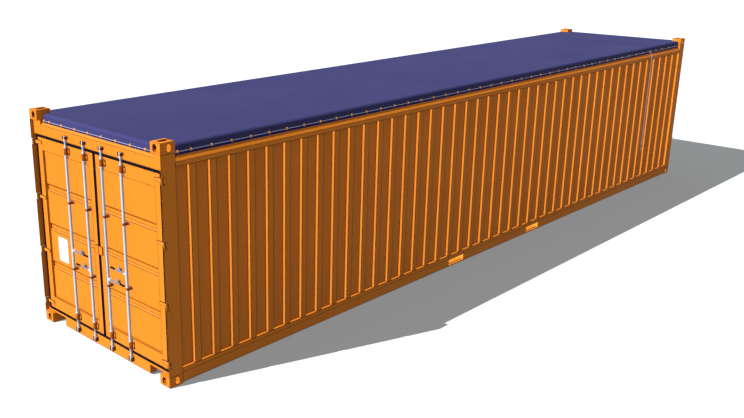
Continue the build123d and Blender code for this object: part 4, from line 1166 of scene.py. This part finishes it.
def finish_cover():
    """The cover as thick rounded cloth; the area of its notched top is worked out but not used.
    """
    mesh = make_cover()
    shape_cover(mesh)
    holder = in_scene("roof_cover_draft", mesh)
    wall = holder.modifiers.new("cloth", "SOLIDIFY")
    wall.thickness = COVER_THICK
    wall.offset = -1.0
    bend = holder.modifiers.new("rounding", "SUBSURF")
    bend.levels = 1
    bend.render_levels = 1
    bend.boundary_smooth = "PRESERVE_CORNERS"
    made = read_result(holder)
    made.name = "roof_cover"
    for face in made.polygons:
        face.use_smooth = True
    piece = place_piece("roof_cover", made, CLOTH, "frame")
    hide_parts("tarpaulin")
    top = 4 * COVER_SIDE * COVER_END
    top -= 4 * (COVER_END - COVER_NOTCH_X) * (COVER_SIDE - COVER_NOTCH_Y)


finish_cover()


# Ropes

def tube_mesh(name, route, radius, sides, closed):
    """A round tube along points, each corner with its place along and round the rope."""
    mesh = bpy.data.meshes.new(name)
    count = len(route)
    verts, places = [], [0.0]
    side = None
    for index, point in enumerate(route):
        before = route[index - 1] if index or closed else route[index]
        after = route[(index + 1) % count] if index + 1 < count or closed else route[index]
        way = (Vector(after) - Vector(before)).normalized()
        if side is None:
            guide = Vector((0, 0, 1)) if abs(way.z) < 0.9 else Vector((1, 0, 0))
            side = guide.cross(way).normalized()
        else:
            side = (side - way * side.dot(way)).normalized()
        up = way.cross(side)
        for step in range(sides):
            turn = 2 * pi * step / sides
            verts.append(Vector(point) + (side * cos(turn) + up * sin(turn)) * radius)
        places.append(places[-1] + (Vector(route[(index + 1) % count]) - Vector(point)).length)
    faces, along, around = [], [], []
    for index in range(count if closed else count - 1):
        other = (index + 1) % count
        for step in range(sides):
            wrap = (step + 1) % sides
            faces.append((index * sides + step, index * sides + wrap,
                          other * sides + wrap, other * sides + step))
            around += [step / sides, (step + 1) / sides, (step + 1) / sides, step / sides]
            along += [places[index], places[index], places[index + 1], places[index + 1]]
    if not closed:
        for ring, far in ((range(sides - 1, -1, -1), 0.0),
                          (range((count - 1) * sides, count * sides), places[count - 1])):
            faces.append(tuple(ring))
            along += [far] * sides
            around += [0.0] * sides
    mesh.from_pydata(verts, [], faces)
    for label, values in (("along", along), ("around", around)):
        mesh.attributes.new(label, "FLOAT", "CORNER").data.foreach_set("value", values)
    for face in mesh.polygons:
        face.use_smooth = True
    mesh.update()
    return mesh


def cover_course(grow, corner):
    """Rounded course round the notched plan of the cover, let out by grow."""
    end, side = COVER_END + grow, COVER_SIDE + grow
    notch_x, notch_y = COVER_NOTCH_X + grow, COVER_NOTCH_Y + grow
    plan = [(end, notch_y), (notch_x, notch_y), (notch_x, side), (-notch_x, side),
            (-notch_x, notch_y), (-end, notch_y), (-end, -notch_y), (-notch_x, -notch_y),
            (-notch_x, -side), (notch_x, -side), (notch_x, -notch_y), (end, -notch_y)]
    plan = [Vector(spot) for spot in plan]
    course = []
    for index, middle in enumerate(plan):
        before, after = plan[index - 1], plan[(index + 1) % len(plan)]
        start = middle + (before - middle).normalized() * corner
        stop = middle + (after - middle).normalized() * corner
        for share in (0.0, 0.25, 0.5, 0.75, 1.0):
            course.append(start.lerp(middle, share).lerp(middle.lerp(stop, share), share))
        last = after + (middle - after).normalized() * corner
        pieces = max(1, int((after - middle).length / 0.13))
        course += [stop.lerp(last, step / pieces) for step in range(1, pieces)]
    return [(spot.x, spot.y, ROPE_HEIGHT) for spot in course]


def place_rope(name, mesh):
    """A rope as a piece of the frame."""
    return place_piece(name, mesh, ROPE, "frame")


skirt_rope = place_rope("skirt_rope", tube_mesh("skirt_rope", cover_course(
    ROPE_OUT, ROPE_BEND), ROPE_RADIUS, 10, True))
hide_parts("tarp_rope")


def place_staples():
    """Staples along both sides, across both ends and beside the castings."""
    side_y, end_x, short = COVER_SIDE + 0.001, COVER_END + 0.001, 0.030
    marks = []
    for way in (-1, 1):
        end_turn = 0.0 if way > 0 else pi
        marks += [((index - (STAPLES_LONG - 1) / 2) * STAPLE_PITCH, way * side_y, way * pi / 2)
                  for index in range(STAPLES_LONG)]
        marks += [(way * end_x, side * y, end_turn) for y in END_STAPLES for side in (-1, 1)]
        for side in (-1, 1):
            marks += [(way * (COVER_NOTCH_X - short), side * side_y, side * pi / 2),
                      (way * end_x, side * (COVER_NOTCH_Y - short), end_turn)]
    loops = grown("rope_staples", STAPLES, [(x, y, ROPE_HEIGHT) for x, y, turn in marks], {
        "Loop Radius": 0.0125, "Wire Radius": 0.0035, "Loop Spread": 3.4, "Eyelet Radius": 0.0150,
        "Eyelet Wire": 0.0022, "Finish": STAPLE_PAINT}, [turn for x, y, turn in marks])
    place_piece("rope_staples", loops, None, "frame")


place_staples()


TAIL_X = 4.700
TAIL_START_Y = 1.196
TAIL_HANG_Y = 1.231
TAIL_ROUTE = [
    (TAIL_X, -TAIL_START_Y, ROPE_HEIGHT - 0.005),
    (TAIL_X + 0.001, -TAIL_START_Y - 0.004, ROPE_HEIGHT - 0.028),
    (TAIL_X, -TAIL_START_Y - 0.019, ROPE_HEIGHT - 0.051),
    (TAIL_X - 0.001, -TAIL_HANG_Y + 0.003, ROPE_HEIGHT - 0.073),
    (TAIL_X, -TAIL_HANG_Y, ROPE_HEIGHT - 0.100),
    (TAIL_X + 0.003, -TAIL_HANG_Y, 0.700),
]


def smooth_route(points):
    """Points along the smooth line that these control points give."""
    line = bpy.data.curves.new("route", "CURVE")
    line.dimensions = "3D"
    spline = line.splines.new("NURBS")
    spline.points.add(len(points) - 1)
    for point, place in zip(spline.points, points):
        point.co = (*place, 1.0)
    spline.order_u = 3
    spline.use_endpoint_u = True
    line.resolution_u = 24
    bare = read_result(in_scene("route", line))
    return [tuple(vert.co) for vert in bare.vertices]


tail_route = smooth_route(TAIL_ROUTE)
rope_tail = place_rope("rope_tail_cord", tube_mesh("rope_tail_cord", tail_route, ROPE_RADIUS, 12,
                                                   False))
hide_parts("rope_tail")


def wound_turns(name, centre, axis, radius, wire, turns, pitch):
    """Turns of thin rope wound round a line, as one closed tube."""
    route = []
    for step in range(int(turns * 20) + 1):
        turn = 2 * pi * step / 20
        along = (step / 20 - turns / 2) * pitch
        first, second = radius * cos(turn), radius * sin(turn)
        offset = (first, second, along) if axis == "z" else (along, first, second)
        route.append(tuple(middle + shift for middle, shift in zip(centre, offset)))
    return tube_mesh(name, route, wire, 8, False)


tail_foot = tail_route[-1]
stopper = place_rope("tail_knot", wound_turns(
    "tail_knot", (tail_foot[0], tail_foot[1], tail_foot[2] + 0.012), "z", 0.0046, 0.0036, 2.6,
    0.0075))
hitch = place_rope("tail_hitch", wound_turns(
    "tail_hitch", (TAIL_X, -TAIL_START_Y, ROPE_HEIGHT), "x", 0.0062, 0.0034, 2.4, 0.0072))


# Floor, light and camera

FLOOR_REACH = 120.0
FLOOR_LIFT = 0.21
FLOOR_RETURN = 0.19
KEY_STRENGTH = 4.6
FLOOR_KEY_STRENGTH = 14.0
SKY_STRENGTH = 0.235
TOWARDS_KEY = Vector((-0.747, 0.260, 0.612)).normalized()
SHELTERED = ("floor_boards", "roof_bows", "front_wall", "crossmembers", "floor_screws")
CAMERA_PLACE = (-11.003, -7.842, 4.515)
CAMERA_TURN = radians(44.63)
CAMERA_DIP = radians(17.16)


def make_stage():
    """A pale floor that reads as white where it is lit and keeps the shadow."""
    mesh = bpy.data.meshes.new("studio_floor")
    corners = rectangle(-FLOOR_REACH, -FLOOR_REACH, FLOOR_REACH, FLOOR_REACH)
    mesh.from_pydata([(x, y, 0) for x, y in corners], [], [(0, 1, 2, 3)])
    floor = in_scene("studio_floor", mesh)
    material, tree, shader = start_material("studio_floor_paint")
    speck = tree.noise(tree.place(), 3.0)
    bright = tree.mix(speck, (0.30, 0.33, 0.35, 1.0), (0.295, 0.325, 0.345, 1.0))
    seen = tree.add("ShaderNodeLightPath").outputs["Is Camera Ray"]
    tree.fill(shader, {"Base Color": tree.mix(seen, (0.04, 0.04, 0.04, 1.0), bright),
                       "Roughness": 0.95, "Specular IOR Level": 0.0})
    glow = tree.add("ShaderNodeEmission", {
        "Color": (1, 1, 1, 1), "Strength": tree.span(seen, 0.0, 1.0, FLOOR_RETURN, FLOOR_LIFT)})
    both = tree.add("ShaderNodeAddShader", {0: shader.outputs[0], 1: glow.outputs[0]})
    tree.put(tree.nodes["Material Output"].inputs["Surface"], both.outputs[0])
    dress(floor, material)


def key_lamp(name, strength, received, blockers=None, spread=1.2):
    """A lamp from the doors' left and above that lights only what it is given."""
    lamp = bpy.data.lights.new(name, "SUN")
    lamp.energy = strength
    lamp.angle = radians(spread)
    holder = in_scene(name, lamp)
    holder.rotation_euler = TOWARDS_KEY.to_track_quat("Z", "Y").to_euler()
    linking = holder.light_linking
    linking.receiver_collection = bpy.data.collections.new(name + "_lights")
    for thing in received:
        linking.receiver_collection.objects.link(thing)
    if blockers is not None:
        linking.blocker_collection = bpy.data.collections.new(name + "_stops")
        for thing in blockers:
            linking.blocker_collection.objects.link(thing)


def make_light():
    """An even key on the outside, a shadowed one inside and on the floor, and a pale sky."""
    things = [thing for thing in bpy.context.scene.objects if thing.type == "MESH"]
    floor = [thing for thing in things if thing.name == "studio_floor"]
    sheltered = [thing for thing in things if thing.name in SHELTERED]
    open_faces = [thing for thing in things if thing not in floor + sheltered]
    key_lamp("key_outside", KEY_STRENGTH, open_faces, floor)
    key_lamp("key_inside", KEY_STRENGTH, sheltered)
    key_lamp("key_floor", FLOOR_KEY_STRENGTH, floor, None, 0.3)
    world = bpy.data.worlds.new("studio_sky")
    bpy.context.scene.world = world
    world.use_nodes = True
    tree = Tree(world.node_tree)
    tree.nodes.clear()
    seen = tree.add("ShaderNodeLightPath").outputs
    direct = tree.math("MAXIMUM", seen["Is Camera Ray"], seen["Is Transmission Ray"])
    shiny = tree.math("MULTIPLY", seen["Is Glossy Ray"], 0.4)
    strength = tree.math("MAXIMUM", tree.math("MAXIMUM", direct, shiny), SKY_STRENGTH)
    sky = tree.add("ShaderNodeBackground", {"Color": (1, 1, 1, 1), "Strength": strength})
    tree.add("ShaderNodeOutputWorld", {"Surface": sky.outputs[0]})


def make_camera():
    """The photograph's view."""
    camera = bpy.data.cameras.new("view_camera")
    camera.lens = 42.876
    camera.sensor_width = 36.0
    camera.shift_x = 0.1200
    camera.shift_y = -0.0067
    camera.clip_end = 400.0
    holder = in_scene("view_camera", camera)
    holder.location = CAMERA_PLACE
    ahead = Vector((sin(CAMERA_TURN) * cos(CAMERA_DIP), cos(CAMERA_TURN) * cos(CAMERA_DIP),
                    -sin(CAMERA_DIP)))
    holder.rotation_euler = ahead.to_track_quat("-Z", "Y").to_euler()
    bpy.context.scene.camera = holder


make_stage()
make_light()
make_camera()
bpy.context.scene.view_settings.view_transform = "Standard"
